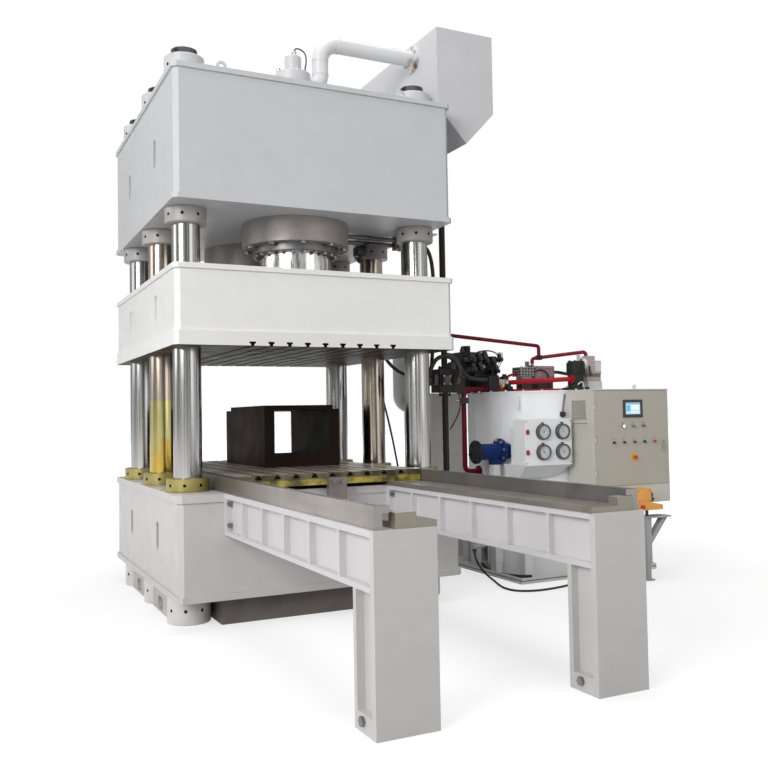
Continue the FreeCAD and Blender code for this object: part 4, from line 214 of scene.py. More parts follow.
link(tree, glow.outputs[0], both.inputs[1])
link(tree, both.outputs[0], surface.inputs["Surface"])
floor.data.materials.append(floor_white)

# %% [markdown]
# The sky is white to the camera. For mirrors it has soft darker bands, because
# chrome in an all-white room has no shape, and for plain surfaces it is an
# even grey that fills the shadows.

# %% Sky
SKY_FOR_DIFFUSE = 0.42
BAND_STRETCH = (1.4, 1.4, 0.1)
BAND_SCALE = 2.3
DARK_BAND = (0.06, 0.06, 0.065, 1)
PALE_BAND = (0.9, 0.9, 0.9, 1)
world = bpy.data.worlds.new("studio")
bpy.context.scene.world = world
tree = shader_nodes(world)
output = tree.nodes.new("ShaderNodeOutputWorld")
mix_mirror = tree.nodes.new("ShaderNodeMixShader")
mix_camera = tree.nodes.new("ShaderNodeMixShader")
plain = tree.nodes.new("ShaderNodeBackground")
plain.inputs["Color"].default_value = (1, 1, 1, 1)
plain.inputs["Strength"].default_value = SKY_FOR_DIFFUSE
bands = tree.nodes.new("ShaderNodeBackground")
white = tree.nodes.new("ShaderNodeBackground")
white.inputs["Color"].default_value = (1, 1, 1, 1)
direction = tree.nodes.new("ShaderNodeTexCoord")
stretch = tree.nodes.new("ShaderNodeMapping")
stretch.inputs["Scale"].default_value = BAND_STRETCH
wave = tree.nodes.new("ShaderNodeTexNoise")
wave.inputs["Scale"].default_value = BAND_SCALE
wave.inputs["Detail"].default_value = 2
steps = tree.nodes.new("ShaderNodeValToRGB")
steps.color_ramp.elements[0].position = 0.42
steps.color_ramp.elements[0].color = DARK_BAND
steps.color_ramp.elements[1].position = 0.6
steps.color_ramp.elements[1].color = PALE_BAND
path = tree.nodes.new("ShaderNodeLightPath")
seen_white = tree.nodes.new("ShaderNodeMath")
seen_white.operation = "MAXIMUM"
link(tree, direction.outputs["Generated"], stretch.inputs["Vector"])
link(tree, stretch.outputs[0], wave.inputs["Vector"])
link(tree, wave.outputs["Fac"], steps.inputs["Fac"])
link(tree, steps.outputs["Color"], bands.inputs["Color"])
link(tree, path.outputs["Is Glossy Ray"], mix_mirror.inputs["Fac"])
link(tree, plain.outputs[0], mix_mirror.inputs[1])
link(tree, bands.outputs[0], mix_mirror.inputs[2])
link(tree, path.outputs["Is Camera Ray"], seen_white.inputs[0])
link(tree, path.outputs["Is Transmission Ray"], seen_white.inputs[1])
link(tree, seen_white.outputs[0], mix_camera.inputs["Fac"])
link(tree, mix_mirror.outputs[0], mix_camera.inputs[1])
link(tree, white.outputs[0], mix_camera.inputs[2])
link(tree, mix_camera.outputs[0], output.inputs["Surface"])

# %% [markdown]
# Four large soft lamps: the main one stands at the left in front, because the
# photograph's left-hand faces are its palest and the fronts a little darker;
# a broad one hangs above, a weak one fills the fronts from the right, and
# another weak one reaches the left-hand sides from farther back.

# %% Lamps
LAMPS = {
    "main_lamp": {"place": (-11.0, -8.5, 6.5), "size": 6.5, "power": 1250},
    "top_lamp": {"place": (0.5, -1.0, 12.0), "size": 7.0, "power": 520},
    "fill_lamp": {"place": (5.0, -12.5, 4.5), "size": 6.0, "power": 150},
    "left_lamp": {"place": (-11.0, 3.0, 5.0), "size": 5.0, "power": 170}}
PRESS_MIDDLE = Vector((1.0, -0.8, 1.8))


def aim(light, target):
    light.rotation_euler = (target - light.location).to_track_quat("-Z", "Y").to_euler()


for name, lamp in LAMPS.items():
    deselect()
    bpy.ops.object.light_add(type="AREA", location=lamp["place"])
    light = bpy.context.object
    light.name = name
    light.data.size = lamp["size"]
    light.data.energy = lamp["power"]
    aim(light, PRESS_MIDDLE)
    print(name, lamp["power"], "W")

# %% [markdown]
# The power unit stands in the press's shadow from the main lamp, yet it is
# bright in the photograph, so a soft spot lamp reaches past the press to it.

# %% Spot lamp for the power unit
UNIT_MIDDLE = Vector((2.75, -0.8, 1.5))
UNIT_LAMP_POWER = 230
UNIT_LAMP_SPREAD = 34           # degrees
deselect()
bpy.ops.object.light_add(type="SPOT", location=(-1.0, -7.0, 3.2))
spot = bpy.context.object
spot.name = "unit_lamp"
spot.data.energy = UNIT_LAMP_POWER
spot.data.shadow_soft_size = 0.9
spot.data.spot_size = math.radians(UNIT_LAMP_SPREAD)
spot.data.spot_blend = 1.0
aim(spot, UNIT_MIDDLE)

# %% [markdown]
# ## How a finish is made
#
# Paint on a machine is never one colour: it is a little uneven, a little
# dusty near the floor, and its skin is faintly pebbled. Each finish here
# starts from one colour and mixes in noise that reads Object coordinates, so
# that the pattern stays on the piece when it moves. A small toolbox keeps the
# recipes short.

# %% Toolbox: coordinates and noise
MATERIALS = {}


def start_material(name):
    """A new material with its shader, ready for recipes."""
    material = bpy.data.materials.new(name)
    material.use_nodes = True
    MATERIALS[name] = material
    tree = material.node_tree
    return tree, tree.nodes["Principled BSDF"]


def place_coordinates(tree, scale=(1, 1, 1)):
    where = tree.nodes.new("ShaderNodeTexCoord")
    mapping = tree.nodes.new("ShaderNodeMapping")
    mapping.inputs["Scale"].default_value = scale
    link(tree, where.outputs["Object"], mapping.inputs["Vector"])
    return mapping.outputs["Vector"]


def noise(tree, scale, detail=3, stretch=(1, 1, 1)):
    """Noise from 0 to 1, finer with a larger scale."""
    grain = tree.nodes.new("ShaderNodeTexNoise")
    grain.inputs["Scale"].default_value = scale
    grain.inputs["Detail"].default_value = detail
    link(tree, place_coordinates(tree, stretch), grain.inputs["Vector"])
    return grain.outputs["Fac"]


# %% Toolbox: sums and mixtures
def calc(tree, operation, *values):
    """One sum on sockets or plain numbers."""
    node = tree.nodes.new("ShaderNodeMath")
    node.operation = operation
    for value, socket in zip(values, node.inputs):
        if isinstance(value, (int, float)):
            socket.default_value = value
        else:
            link(tree, value, socket)
    return node.outputs[0]


def between(tree, value, low, high, to_low=0.0, to_high=1.0):
    """A value stretched from one span onto another."""
    span = tree.nodes.new("ShaderNodeMapRange")
    span.inputs["From Min"].default_value = low
    span.inputs["From Max"].default_value = high
    span.inputs["To Min"].default_value = to_low
    span.inputs["To Max"].default_value = to_high
    link(tree, value, span.inputs["Value"])
    return span.outputs["Result"]


def blended(tree, factor, first, second):
    """Two colours or sockets mixed by a factor."""
    mix = tree.nodes.new("ShaderNodeMix")
    mix.data_type = "RGBA"
    link(tree, factor, mix.inputs["Factor"])
    for colour, socket in ((first, mix.inputs["A"]), (second, mix.inputs["B"])):
        if isinstance(colour, (tuple, list)):
            socket.default_value = (*colour, 1)
        else:
            link(tree, colour, socket)
    return mix.outputs["Result"]


# %% Toolbox: bumps, zones and shades
def bumped(tree, shader, height, strength, distance):
    bump = tree.nodes.new("ShaderNodeBump")
    bump.inputs["Strength"].default_value = strength
    bump.inputs["Distance"].default_value = distance
    link(tree, height, bump.inputs["Height"])
    link(tree, bump.outputs["Normal"], shader.inputs["Normal"])


def position_axis(tree, axis):
    """One Object coordinate, in metres."""
    split = tree.nodes.new("ShaderNodeSeparateXYZ")
    link(tree, place_coordinates(tree), split.inputs[0])
    return split.outputs[axis]


def zone(tree, **spans):
    """1 inside the given spans of X, Y and Z, 0 outside; None is an open end."""
    mask = None
    for axis, (low, high) in spans.items():
        value = position_axis(tree, axis)
        for limit, operation in ((low, "GREATER_THAN"), (high, "LESS_THAN")):
            if limit is not None:
                test = calc(tree, operation, value, limit)
                mask = test if mask is None else calc(tree, "MULTIPLY", mask, test)
    return mask


def shade(colour, amount):
    return tuple(min(1.0, part * amount) for part in colour)


# %% [markdown]
# Sprayed machine paint is used on all the beams, tanks and cabinets. Its recipe takes a colour,
# how shiny it is, and how much grey dust gathers near the floor. Some nodes hold pieces of two
# colours, as a blue filter on a white post; there a zone of Object coordinates gets its own
# colour. On the red pipes the darker zones are painted shade.

# %% Sprayed paint
def sprayed_paint(name, colour, roughness=0.42, unevenness=0.05, floor_dust=0.0, zones=()):
    tree, shader = start_material(name)
    cloud = between(tree, noise(tree, 1.3, 4), 0.3, 0.7)
    fine = between(tree, noise(tree, 9.0, 3), 0.35, 0.65)
    coat = blended(tree, cloud, shade(colour, 1 - unevenness), shade(colour, 1 + unevenness * 0.5))
    speck = blended(tree, fine, shade(colour, 1 - unevenness * 0.6), colour)
    mixed = blended(tree, between(tree, noise(tree, 3.1, 2), 0.4, 0.6), coat, speck)
    for spans, other in zones:
        mottled = blended(tree, fine, shade(other, 0.86), other)
        mixed = blended(tree, zone(tree, **spans), mixed, mottled)
    if floor_dust:
        low = between(tree, position_axis(tree, "Z"), 0.75, 0.0)
        patchy = calc(tree, "MULTIPLY", low,
                      between(tree, noise(tree, 4.0, 5), 0.3, 0.75, 0.0, floor_dust))
        mixed = blended(tree, patchy, mixed, (0.36, 0.33, 0.29))
    link(tree, mixed, shader.inputs["Base Color"])
    sheen = between(tree, noise(tree, 6.0, 3), 0.3, 0.7, roughness - 0.06, roughness + 0.07)
    link(tree, sheen, shader.inputs["Roughness"])
    bumped(tree, shader, noise(tree, 95.0, 2), 0.08, 0.002)


sprayed_paint("crown_paint", (0.58, 0.585, 0.605), 0.38)
sprayed_paint("base_paint", (0.585, 0.565, 0.56), 0.42, floor_dust=0.25)
sprayed_paint("arm_paint", (0.62, 0.605, 0.615), 0.42)
sprayed_paint("leg_paint", (0.57, 0.555, 0.55), 0.42, floor_dust=0.15)
sprayed_paint("tank_paint", (0.61, 0.61, 0.625), 0.36)
sprayed_paint("oil_tank_paint", (0.8, 0.805, 0.82), 0.34,
              zones=[({"X": (None, 2.0801)}, (0.5, 0.5, 0.5))])
sprayed_paint("tray_paint", (0.78, 0.785, 0.78), 0.45, floor_dust=0.2,
              zones=[({"Z": (0.024, 0.034)}, (0.12, 0.12, 0.12))])
sprayed_paint("panel_paint", (0.8, 0.81, 0.815), 0.4,
              zones=[({"X": (2.06, 2.097), "Y": (None, -1.0501)}, (0.35, 0.01, 0.03))])
sprayed_paint("beige_paint", (0.62, 0.6, 0.575), 0.42)
sprayed_paint("cabinet_paint", (0.56, 0.545, 0.48), 0.45, 0.03)
sprayed_paint("stand_paint", (0.4, 0.41, 0.42), 0.45, floor_dust=0.3,
              zones=[({"Z": (0.5905, None)}, (0.02, 0.02, 0.02))])
sprayed_paint("plinth_paint", (0.17, 0.15, 0.14), 0.55, 0.1, floor_dust=0.3,
              zones=[({"X": (None, -0.8315)}, (0.56, 0.55, 0.54)),
                     ({"X": (0.8315, None)}, (0.56, 0.55, 0.54))])
sprayed_paint("orange_paint", (0.8, 0.36, 0.07), 0.38)
sprayed_paint("drain_black", (0.035, 0.03, 0.028), 0.42, 0.12)
sprayed_paint("black_coat", (0.03, 0.03, 0.032), 0.42, 0.15,
              zones=[({"X": (2.301, 2.41), "Y": (None, -0.15)}, (0.5, 0.47, 0.44))])
sprayed_paint("pump_green", (0.028, 0.036, 0.03), 0.42, 0.15,
              zones=[({"X": (3.058, 3.098), "Z": (2.0805, None)}, (0.6, 0.6, 0.6))])
sprayed_paint("brown_coat", (0.022, 0.014, 0.01), 0.5, 0.2)
sprayed_paint("accumulator_paint", (0.5, 0.51, 0.52), 0.4)
print("paints", len(MATERIALS))

# %% [markdown]
# The slide is sprayed like the other beams, only paler, but its underside and
# the T-slots cut into it are bare milled steel, dark with oil. Both belong to
# the plate below it, so that plate's paint ends where the coordinates say that
# the steel begins. Dark paints get a weak highlight, or they would look grey.

# %% Slide, filter, motor and pilot unit
SLOT_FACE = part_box("slide_t_slot_plate")[0][2]
SLOT_DEEP = 0.0325
BARE_OILY = (0.042, 0.026, 0.015)
sprayed_paint("slide_paint", (0.83, 0.825, 0.82), 0.38)
sprayed_paint("slot_plate", (0.83, 0.825, 0.82), 0.45,
              zones=[({"Z": (None, SLOT_FACE + 0.0002)}, BARE_OILY),
                     ({"Z": (None, SLOT_FACE + SLOT_DEEP), "X": (-0.67, 0.67),
                       "Y": (-1.2795, 1.2795)}, (0.03, 0.026, 0.022))])
FILTER_MIDDLE = 1.195
sprayed_paint("filter_paint", (0.009, 0.03, 0.13), 0.3, 0.1,
              zones=[({"X": (None, 1.8425)}, (0.02, 0.022, 0.028)),
                     ({"Z": (None, FILTER_MIDDLE - 0.126)}, (0.7, 0.7, 0.7))])
MOTOR_LEFT = 2.8149
sprayed_paint("motor_paint", (0.36, 0.235, 0.24), 0.45,
              zones=[({"X": (None, MOTOR_LEFT)}, (0.36, 0.35, 0.32)),
                     ({"Z": (None, 1.9205)}, (0.05, 0.04, 0.04)),
                     ({"X": (None, MOTOR_LEFT), "Z": (2.0415, None)}, (0.12, 0.12, 0.11))])
sprayed_paint("pilot_paint", (0.44, 0.37, 0.36), 0.4,
              zones=[({"Z": (1.925, 1.9595)}, (0.2, 0.15, 0.13)),
                     ({"Z": (None, 1.8795)}, (0.62, 0.62, 0.64))])
# Painted shade: the red pipes are darker above 2.06 m, and the return pipe left of X 2.181 is
# darker still.
sprayed_paint("red_paint", (0.4, 0.012, 0.02), 0.34, 0.12,
              zones=[({"Z": (2.06, None)}, (0.24, 0.012, 0.03)),
                     ({"X": (None, 2.181)}, (0.16, 0.012, 0.02))])
for dark in ("brown_coat", "black_coat", "pump_green", "drain_black", "slot_plate",
             "plinth_paint", "filter_paint", "red_paint"):
    shader = MATERIALS[dark].node_tree.nodes["Principled BSDF"]
    shader.inputs["Specular IOR Level"].default_value = (
        0.03 if dark in ("brown_coat", "slot_plate") else 0.1)
print("zoned paints ready")

# %% [markdown]
# The round nuts carry eight radial holes for a hook spanner. Each hole is a
# real pocket, but a pocket is dark because little light reaches its greasy
# bottom, and a soft studio fills it too well. So the finish darkens whatever
# lies inside the nut's outer skin: the distance to the nearest column line
# tells where that is.

# %% Nuts with dark spanner holes
COLUMN_X = 1.017
COLUMN_PITCH = 0.909
NUT_SKIN = 0.004


def nut_finish(name, node, diameter, colour, second, metal=0.0):
    low, high = (corner[2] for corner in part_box(node))
    tree, shader = start_material(name)
    across = calc(tree, "SUBTRACT", calc(tree, "ABSOLUTE", position_axis(tree, "X")), COLUMN_X)
    along = calc(tree, "ABSOLUTE", position_axis(tree, "Y"))
    to_end = calc(tree, "ABSOLUTE", calc(tree, "SUBTRACT", along, COLUMN_PITCH))
    nearest = calc(tree, "MINIMUM", along, to_end)
    reach = calc(tree, "SQRT", calc(tree, "ADD", calc(tree, "MULTIPLY", across, across),
                                    calc(tree, "MULTIPLY", nearest, nearest)))
    inside = calc(tree, "LESS_THAN", reach, diameter / 2 - NUT_SKIN)
    hole = calc(tree, "MULTIPLY", inside, zone(tree, Z=(low + 0.02, high - 0.02)))
    tone = blended(tree, between(tree, noise(tree, 6.0, 4), 0.35, 0.65), colour, second)
    link(tree, blended(tree, hole, tone, (0.008, 0.007, 0.006)), shader.inputs["Base Color"])
    shader.inputs["Metallic"].default_value = metal
    link(tree, between(tree, noise(tree, 7.0, 4), 0.3, 0.7, 0.3, 0.5), shader.inputs["Roughness"])
    bumped(tree, shader, noise(tree, 110.0, 2), 0.1, 0.0015)


nut_finish("top_nut_paint", "column_top_nuts", 0.312, (0.6, 0.6, 0.615), (0.55, 0.55, 0.565))
nut_finish("upper_nut_paint", "upper_column_nuts", 0.324, (0.4, 0.385, 0.37), (0.33, 0.315, 0.3))
nut_finish("lower_nut_zinc", "lower_column_nuts", 0.33, (0.4, 0.34, 0.1), (0.27, 0.24, 0.1), 0.55)
nut_finish("foot_nut_paint", "foot_nuts", 0.33, (0.7, 0.69, 0.68), (0.6, 0.59, 0.58))

# %% [markdown]
# ## Bright metal
#
# The columns and rams are hard-chromed and ground. Grinding leaves rings too fine to see, but the
# slide leaves long upright streaks, so the noise is stretched along Z. The same streaks darken the
# chrome's colour in long bands: partly scratches, partly painted dark reflections. The two middle
# columns look bronze in the photograph, and one of them carries a yellow film of oil up to a third
# of its height. Above the crown the threaded ends are dark, and fine waves stand for the thread.

# %% Chromed columns
def streaked_chrome(name, colour, roughness):
    tree, shader = start_material(name)
    streaks = noise(tree, 14.0, 4, stretch=(1, 1, 0.03))
    # The chrome's colour is darker along the streaks: scratches, and painted dark reflection
    # bands.
    tone = blended(tree, between(tree, streaks, 0.3, 0.7), shade(colour, 0.62), colour)
    shader.inputs["Metallic"].default_value = 1.0
    link(tree, between(tree, streaks, 0.3, 0.7, roughness + 0.08, roughness - 0.03),
         shader.inputs["Roughness"])
    return tree, shader, tone


BRONZE = (0.42, 0.365, 0.3)
OIL_PALE = (0.5, 0.46, 0.17)
OIL_AMBER = (0.55, 0.36, 0.04)
MIDDLE_ROW = 0.45               # columns nearer the middle than this
OIL_TOP = 1.72
THREADS = 4.4                   # the columns are dark above this
THREAD_WAVES = 1050.0           # radians in a metre: a pitch of 6 mm
tree, shader, tone = streaked_chrome("column_chrome", (0.5, 0.495, 0.49), 0.14)
middle = calc(tree, "LESS_THAN", calc(tree, "ABSOLUTE", position_axis(tree, "Y")), MIDDLE_ROW)
tone = blended(tree, middle, tone, BRONZE)
left_side = calc(tree, "LESS_THAN", position_axis(tree, "X"), 0.0)
wet = between(tree, position_axis(tree, "Z"), OIL_TOP + 0.01, OIL_TOP - 0.01, 0.0, 0.85)
low = between(tree, position_axis(tree, "Z"), OIL_TOP - 0.3, OIL_TOP - 0.36)
drips = between(tree, noise(tree, 9.0, 4, stretch=(1, 1, 0.3)), 0.42, 0.56)
oil_colour = blended(tree, calc(tree, "MULTIPLY", low, drips), OIL_PALE, OIL_AMBER)
oil = calc(tree, "MULTIPLY", calc(tree, "MULTIPLY", middle, left_side), wet)
tone = blended(tree, oil, tone, oil_colour)
dark_end = calc(tree, "GREATER_THAN", position_axis(tree, "Z"), THREADS)
tone = blended(tree, dark_end, tone, (0.07, 0.07, 0.072))
link(tree, tone, shader.inputs["Base Color"])
turns = calc(tree, "SINE", calc(tree, "MULTIPLY", position_axis(tree, "Z"), THREAD_WAVES))
bumped(tree, shader, calc(tree, "MULTIPLY", dark_end, turns), 0.6, 0.002)

# %% [markdown]
# A ram shows a crinkled bright band under its gland: the chrome mirrors the
# bolts above it. A little large-scale bump gives that broken reflection, which
# a perfect cylinder wouldn't have.

# %% Chromed rams
tree, shader, tone = streaked_chrome("ram_chrome", (0.86, 0.855, 0.85), 0.16)
link(tree, tone, shader.inputs["Base Color"])
bumped(tree, shader, noise(tree, 11.0, 2, stretch=(1, 1, 0.35)), 0.35, 0.02)

# %% [markdown]
# Turned, milled and plated steel differ only in colour and in how wide their
# highlight spreads, so one recipe serves them all: blotches of old oil over a
# fine grain.

# %% Worked steel
STAIN_SHARE = 0.5


def worked_steel(name, colour, roughness, stain, metal=1.0):
    tree, shader = start_material(name)
    blotch = between(tree, noise(tree, 4.5, 5), 0.42, 0.68, 0.0, STAIN_SHARE)
    tone = blended(tree, blotch, colour, stain)
    fine = between(tree, noise(tree, 60.0, 3), 0.3, 0.7)
    tone = blended(tree, fine, tone, shade(colour, 0.8))
    link(tree, tone, shader.inputs["Base Color"])
    shader.inputs["Metallic"].default_value = metal
    link(tree, between(tree, noise(tree, 7.0, 4), 0.3, 0.7, roughness - 0.08, roughness + 0.1),
         shader.inputs["Roughness"])
    bumped(tree, shader, noise(tree, 160.0, 2), 0.12, 0.0012)


worked_steel("bolt_steel", (0.3, 0.29, 0.28), 0.42, (0.16, 0.15, 0.14))
worked_steel("bright_steel", (0.55, 0.55, 0.55), 0.28, (0.35, 0.34, 0.33))
worked_steel("dark_bolt", (0.07, 0.07, 0.075), 0.45, (0.03, 0.03, 0.03))
worked_steel("ring_steel", (0.2, 0.195, 0.19), 0.42, (0.1, 0.095, 0.09))
worked_steel("cylinder_steel", (0.31, 0.285, 0.27), 0.42, (0.25, 0.225, 0.21), metal=0.25)
worked_steel("fitting_zinc", (0.5, 0.48, 0.44), 0.32, (0.34, 0.32, 0.28))
worked_steel("brass", (0.55, 0.42, 0.22), 0.3, (0.35, 0.25, 0.12))

# %% [markdown]
# The suction pipes are painted like the tank, and a brown patch darkens the lower edge of the
# front pipe's flange.

# %% Suction pipes
BROWN_PATCH_PLACE = (1.16, -0.7, 4.775)
tree, shader = start_material("pipe_paint")
cloud = between(tree, noise(tree, 2.0, 4), 0.3, 0.7)
tone = blended(tree, cloud, (0.68, 0.68, 0.69), (0.75, 0.75, 0.76))
near = tree.nodes.new("ShaderNodeVectorMath")
near.operation = "DISTANCE"
near.inputs[1].default_value = BROWN_PATCH_PLACE
link(tree, place_coordinates(tree), near.inputs[0])
# A brown patch on the lower edge of the front pipe's flange.
brown_patch = calc(tree, "MULTIPLY", between(tree, near.outputs["Value"], 0.09, 0.03),
             between(tree, noise(tree, 22.0, 4), 0.35, 0.55))
link(tree, blended(tree, brown_patch, tone, (0.2, 0.09, 0.04)), shader.inputs["Base Color"])
shader.inputs["Roughness"].default_value = 0.35
bumped(tree, shader, noise(tree, 80.0, 2), 0.08, 0.002)

# %% [markdown]
# The table is milled plate under a film of rust preventer. Its top is grey brown, with marks that
# run along the slots; the lower half of its front edge has been brushed with yellow-green oil. The
# bars in front of it are plain oily steel, with painted shade that deepens towards the base; the
# right-hand one is darker steel all along, with painted shade in it too, and their sawn ends are
# one even grey. The tracks and the bracket are the same steel again, with paler end stops on the
# tracks.

# %% Table and rails
TABLE_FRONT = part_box("moving_table")[0][1]
BAR_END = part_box("guide_bars")[0][1]
OLIVE_TOP = 1.078
OILED_METAL = 0.45
SKIN = 0.003                    # how deep the front edge's colour reaches


def oiled_plate(name, top, dark):
    tree, shader = start_material(name)
    along = noise(tree, 7.0, 5, stretch=(1, 0.12, 1))
    tone = blended(tree, between(tree, along, 0.35, 0.65), dark, top)
    stain = between(tree, noise(tree, 2.6, 6), 0.5, 0.72, 0.0, 0.6)
    tone = blended(tree, stain, tone, shade(dark, 0.75))
    shader.inputs["Metallic"].default_value = OILED_METAL
    link(tree, between(tree, noise(tree, 5.0, 4), 0.3, 0.7, 0.26, 0.46),
         shader.inputs["Roughness"])
    bumped(tree, shader, noise(tree, 60.0, 3, stretch=(1, 0.1, 1)), 0.1, 0.002)
    return tree, shader, tone


tree, shader, tone = oiled_plate("table_steel", (0.72, 0.63, 0.54), (0.35, 0.3, 0.25))
patches = between(tree, noise(tree, 11.0, 5), 0.38, 0.6)
olive = blended(tree, patches, (0.1, 0.085, 0.03), (0.5, 0.41, 0.07))
bare = blended(tree, patches, (0.045, 0.038, 0.022), (0.15, 0.13, 0.065))
edge = blended(tree, zone(tree, Z=(None, OLIVE_TOP)), bare, olive)
tone = blended(tree, zone(tree, Y=(None, TABLE_FRONT + SKIN)), tone, edge)
in_slot = zone(tree, Y=(TABLE_FRONT + SKIN, None), Z=(None, 1.1215))
link(tree, blended(tree, in_slot, tone, (0.06, 0.05, 0.035)), shader.inputs["Base Color"])

tree, shader, tone = oiled_plate("rail_steel", (0.4, 0.365, 0.34), (0.28, 0.25, 0.23))
right_hand = calc(tree, "GREATER_THAN", position_axis(tree, "X"), 0.0)
# The right-hand bar is darker steel, with painted shade in it too.
darker = blended(tree, between(tree, noise(tree, 3.0, 4), 0.3, 0.7), (0.13, 0.12, 0.115),
                 (0.2, 0.19, 0.185))
# Painted shade: the bars darken towards the base.
base_shade = between(tree, position_axis(tree, "Y"), -2.7, -1.6, 0.1, 0.8)
tone = blended(tree, base_shade, tone, (0.12, 0.105, 0.09))
tone = blended(tree, right_hand, tone, darker)
ends = zone(tree, Y=(None, BAR_END + 0.002))
link(tree, blended(tree, ends, tone, (0.3, 0.28, 0.265)), shader.inputs["Base Color"])

tree, shader, tone = oiled_plate("track_steel", (0.3, 0.28, 0.25), (0.2, 0.18, 0.15))
stop_block = zone(tree, Y=(None, -3.8095))
stop_colour = blended(tree, zone(tree, Z=(1.0795, None)), (0.25, 0.235, 0.19), (0.5, 0.485, 0.46))
link(tree, blended(tree, stop_block, tone, stop_colour), shader.inputs["Base Color"])

tree, shader, tone = oiled_plate("bracket_steel", (0.26, 0.24, 0.215), (0.17, 0.155, 0.14))
link(tree, tone, shader.inputs["Base Color"])


# %% [markdown]
# Moulded parts: buttons, caps, hoses and the screen's frame. Rubber and
# plastic have no metal in them and a wide, weak highlight; lamps and lenses
# have a hard one. A lamp that is lit gets a little light of its own.

# %% Plastics, rubber and lamps
def moulded(name, colour, roughness, lit=0.0):
    tree, shader = start_material(name)
    mottled = between(tree, noise(tree, 30.0, 3), 0.35, 0.7)
    link(tree, blended(tree, mottled, shade(colour, 0.85), shade(colour, 1.12)),
         shader.inputs["Base Color"])
    link(tree, between(tree, noise(tree, 18.0, 3), 0.3, 0.7, roughness - 0.06, roughness + 0.08),
         shader.inputs["Roughness"])
    bumped(tree, shader, noise(tree, 120.0, 2), 0.1, 0.0006)
    if lit:
        shader.inputs["Emission Color"].default_value = (*colour, 1)
        shader.inputs["Emission Strength"].default_value = lit


moulded("black_plastic", (0.025, 0.025, 0.026), 0.4)
moulded("black_rubber", (0.02, 0.02, 0.02), 0.62)
moulded("red_plastic", (0.55, 0.02, 0.02), 0.28)
moulded("green_lamp", (0.0, 0.25, 0.1), 0.15)
moulded("red_lamp", (0.36, 0.006, 0.025), 0.15)
moulded("white_lamp", (0.8, 0.83, 0.95), 0.15, lit=0.5)
moulded("dial_white", (0.56, 0.56, 0.55), 0.5)
moulded("ink_black", (0.02, 0.02, 0.02), 0.6)
moulded("white_plastic", (0.7, 0.7, 0.69), 0.4)
moulded("vent_grey", (0.34, 0.33, 0.29), 0.5)
moulded("bezel_black", (0.09, 0.09, 0.095), 0.22)
moulded("legend_grey", (0.3, 0.29, 0.26), 0.4)
cable.data.materials.append(MATERIALS["black_rubber"])
tree, shader = start_material("lens_glass")
shader.inputs["Base Color"].default_value = (0.9, 0.95, 1, 1)
shader.inputs["Roughness"].default_value = 0.04
shader.inputs["Alpha"].default_value = 0.14
print("finishes", len(MATERIALS))

# %% [markdown]
# The cabinet door is one node that also holds the lamp sockets, the collars of
# the controls, the handle's plate and the yellow plate behind the emergency
# stop. They all stand in front of the sheet, so one zone finds them, and
# smaller zones within it give each its colour.

# %% Cabinet door
DOOR_FACE = -1.3003
sprayed_paint("door_paint", (0.43, 0.405, 0.345), 0.45, 0.03,
              zones=[({"Y": (None, DOOR_FACE), "X": (2.75, None)}, (0.3, 0.3, 0.29)),
                     ({"Y": (None, DOOR_FACE), "X": (3.44, None)}, (0.4, 0.385, 0.34)),
                     ({"Y": (None, DOOR_FACE), "X": (3.079, 3.149), "Z": (1.093, 1.163)},
                      (0.75, 0.42, 0.03))])

# %% [markdown]
# The touch panel has a black frame and a lit picture: a pale field with a few
# plain boxes, which stand for the buttons of any machine's screen.

# %% Touch panel
tree, shader = start_material("screen_face")
picture = zone(tree, X=(3.022, 3.196), Z=(1.533, 1.643), Y=(None, -1.3065))
field = blended(tree, zone(tree, Z=(1.627, None)), (0.4, 0.62, 0.74), (0.2, 0.4, 0.55))
for spans, colour in (({"X": (3.03, 3.075), "Z": (1.56, 1.618)}, (0.12, 0.4, 0.6)),
                      ({"X": (3.09, 3.185), "Z": (1.575, 1.618)}, (0.7, 0.82, 0.8)),
                      ({"X": (3.09, 3.13), "Z": (1.541, 1.565)}, (0.55, 0.75, 0.82)),
                      ({"X": (3.14, 3.185), "Z": (1.541, 1.565)}, (0.55, 0.75, 0.82))):
    field = blended(tree, zone(tree, **spans), field, colour)
frame_black = blended(tree, between(tree, noise(tree, 40.0, 3), 0.3, 0.7), (0.014, 0.014, 0.015),
                      (0.024, 0.024, 0.025))
link(tree, blended(tree, picture, frame_black, field), shader.inputs["Base Color"])
link(tree, blended(tree, picture, (0.0, 0.0, 0.0), field), shader.inputs["Emission Color"])
shader.inputs["Emission Strength"].default_value = 0.45
shader.inputs["Roughness"].default_value = 0.25
print("finishes", len(MATERIALS))

# %% [markdown]
# ## Paint the frame
#
# Every node of the frame gets a finish by name. The material slot of the node
# is filled, and nothing else about it is touched.

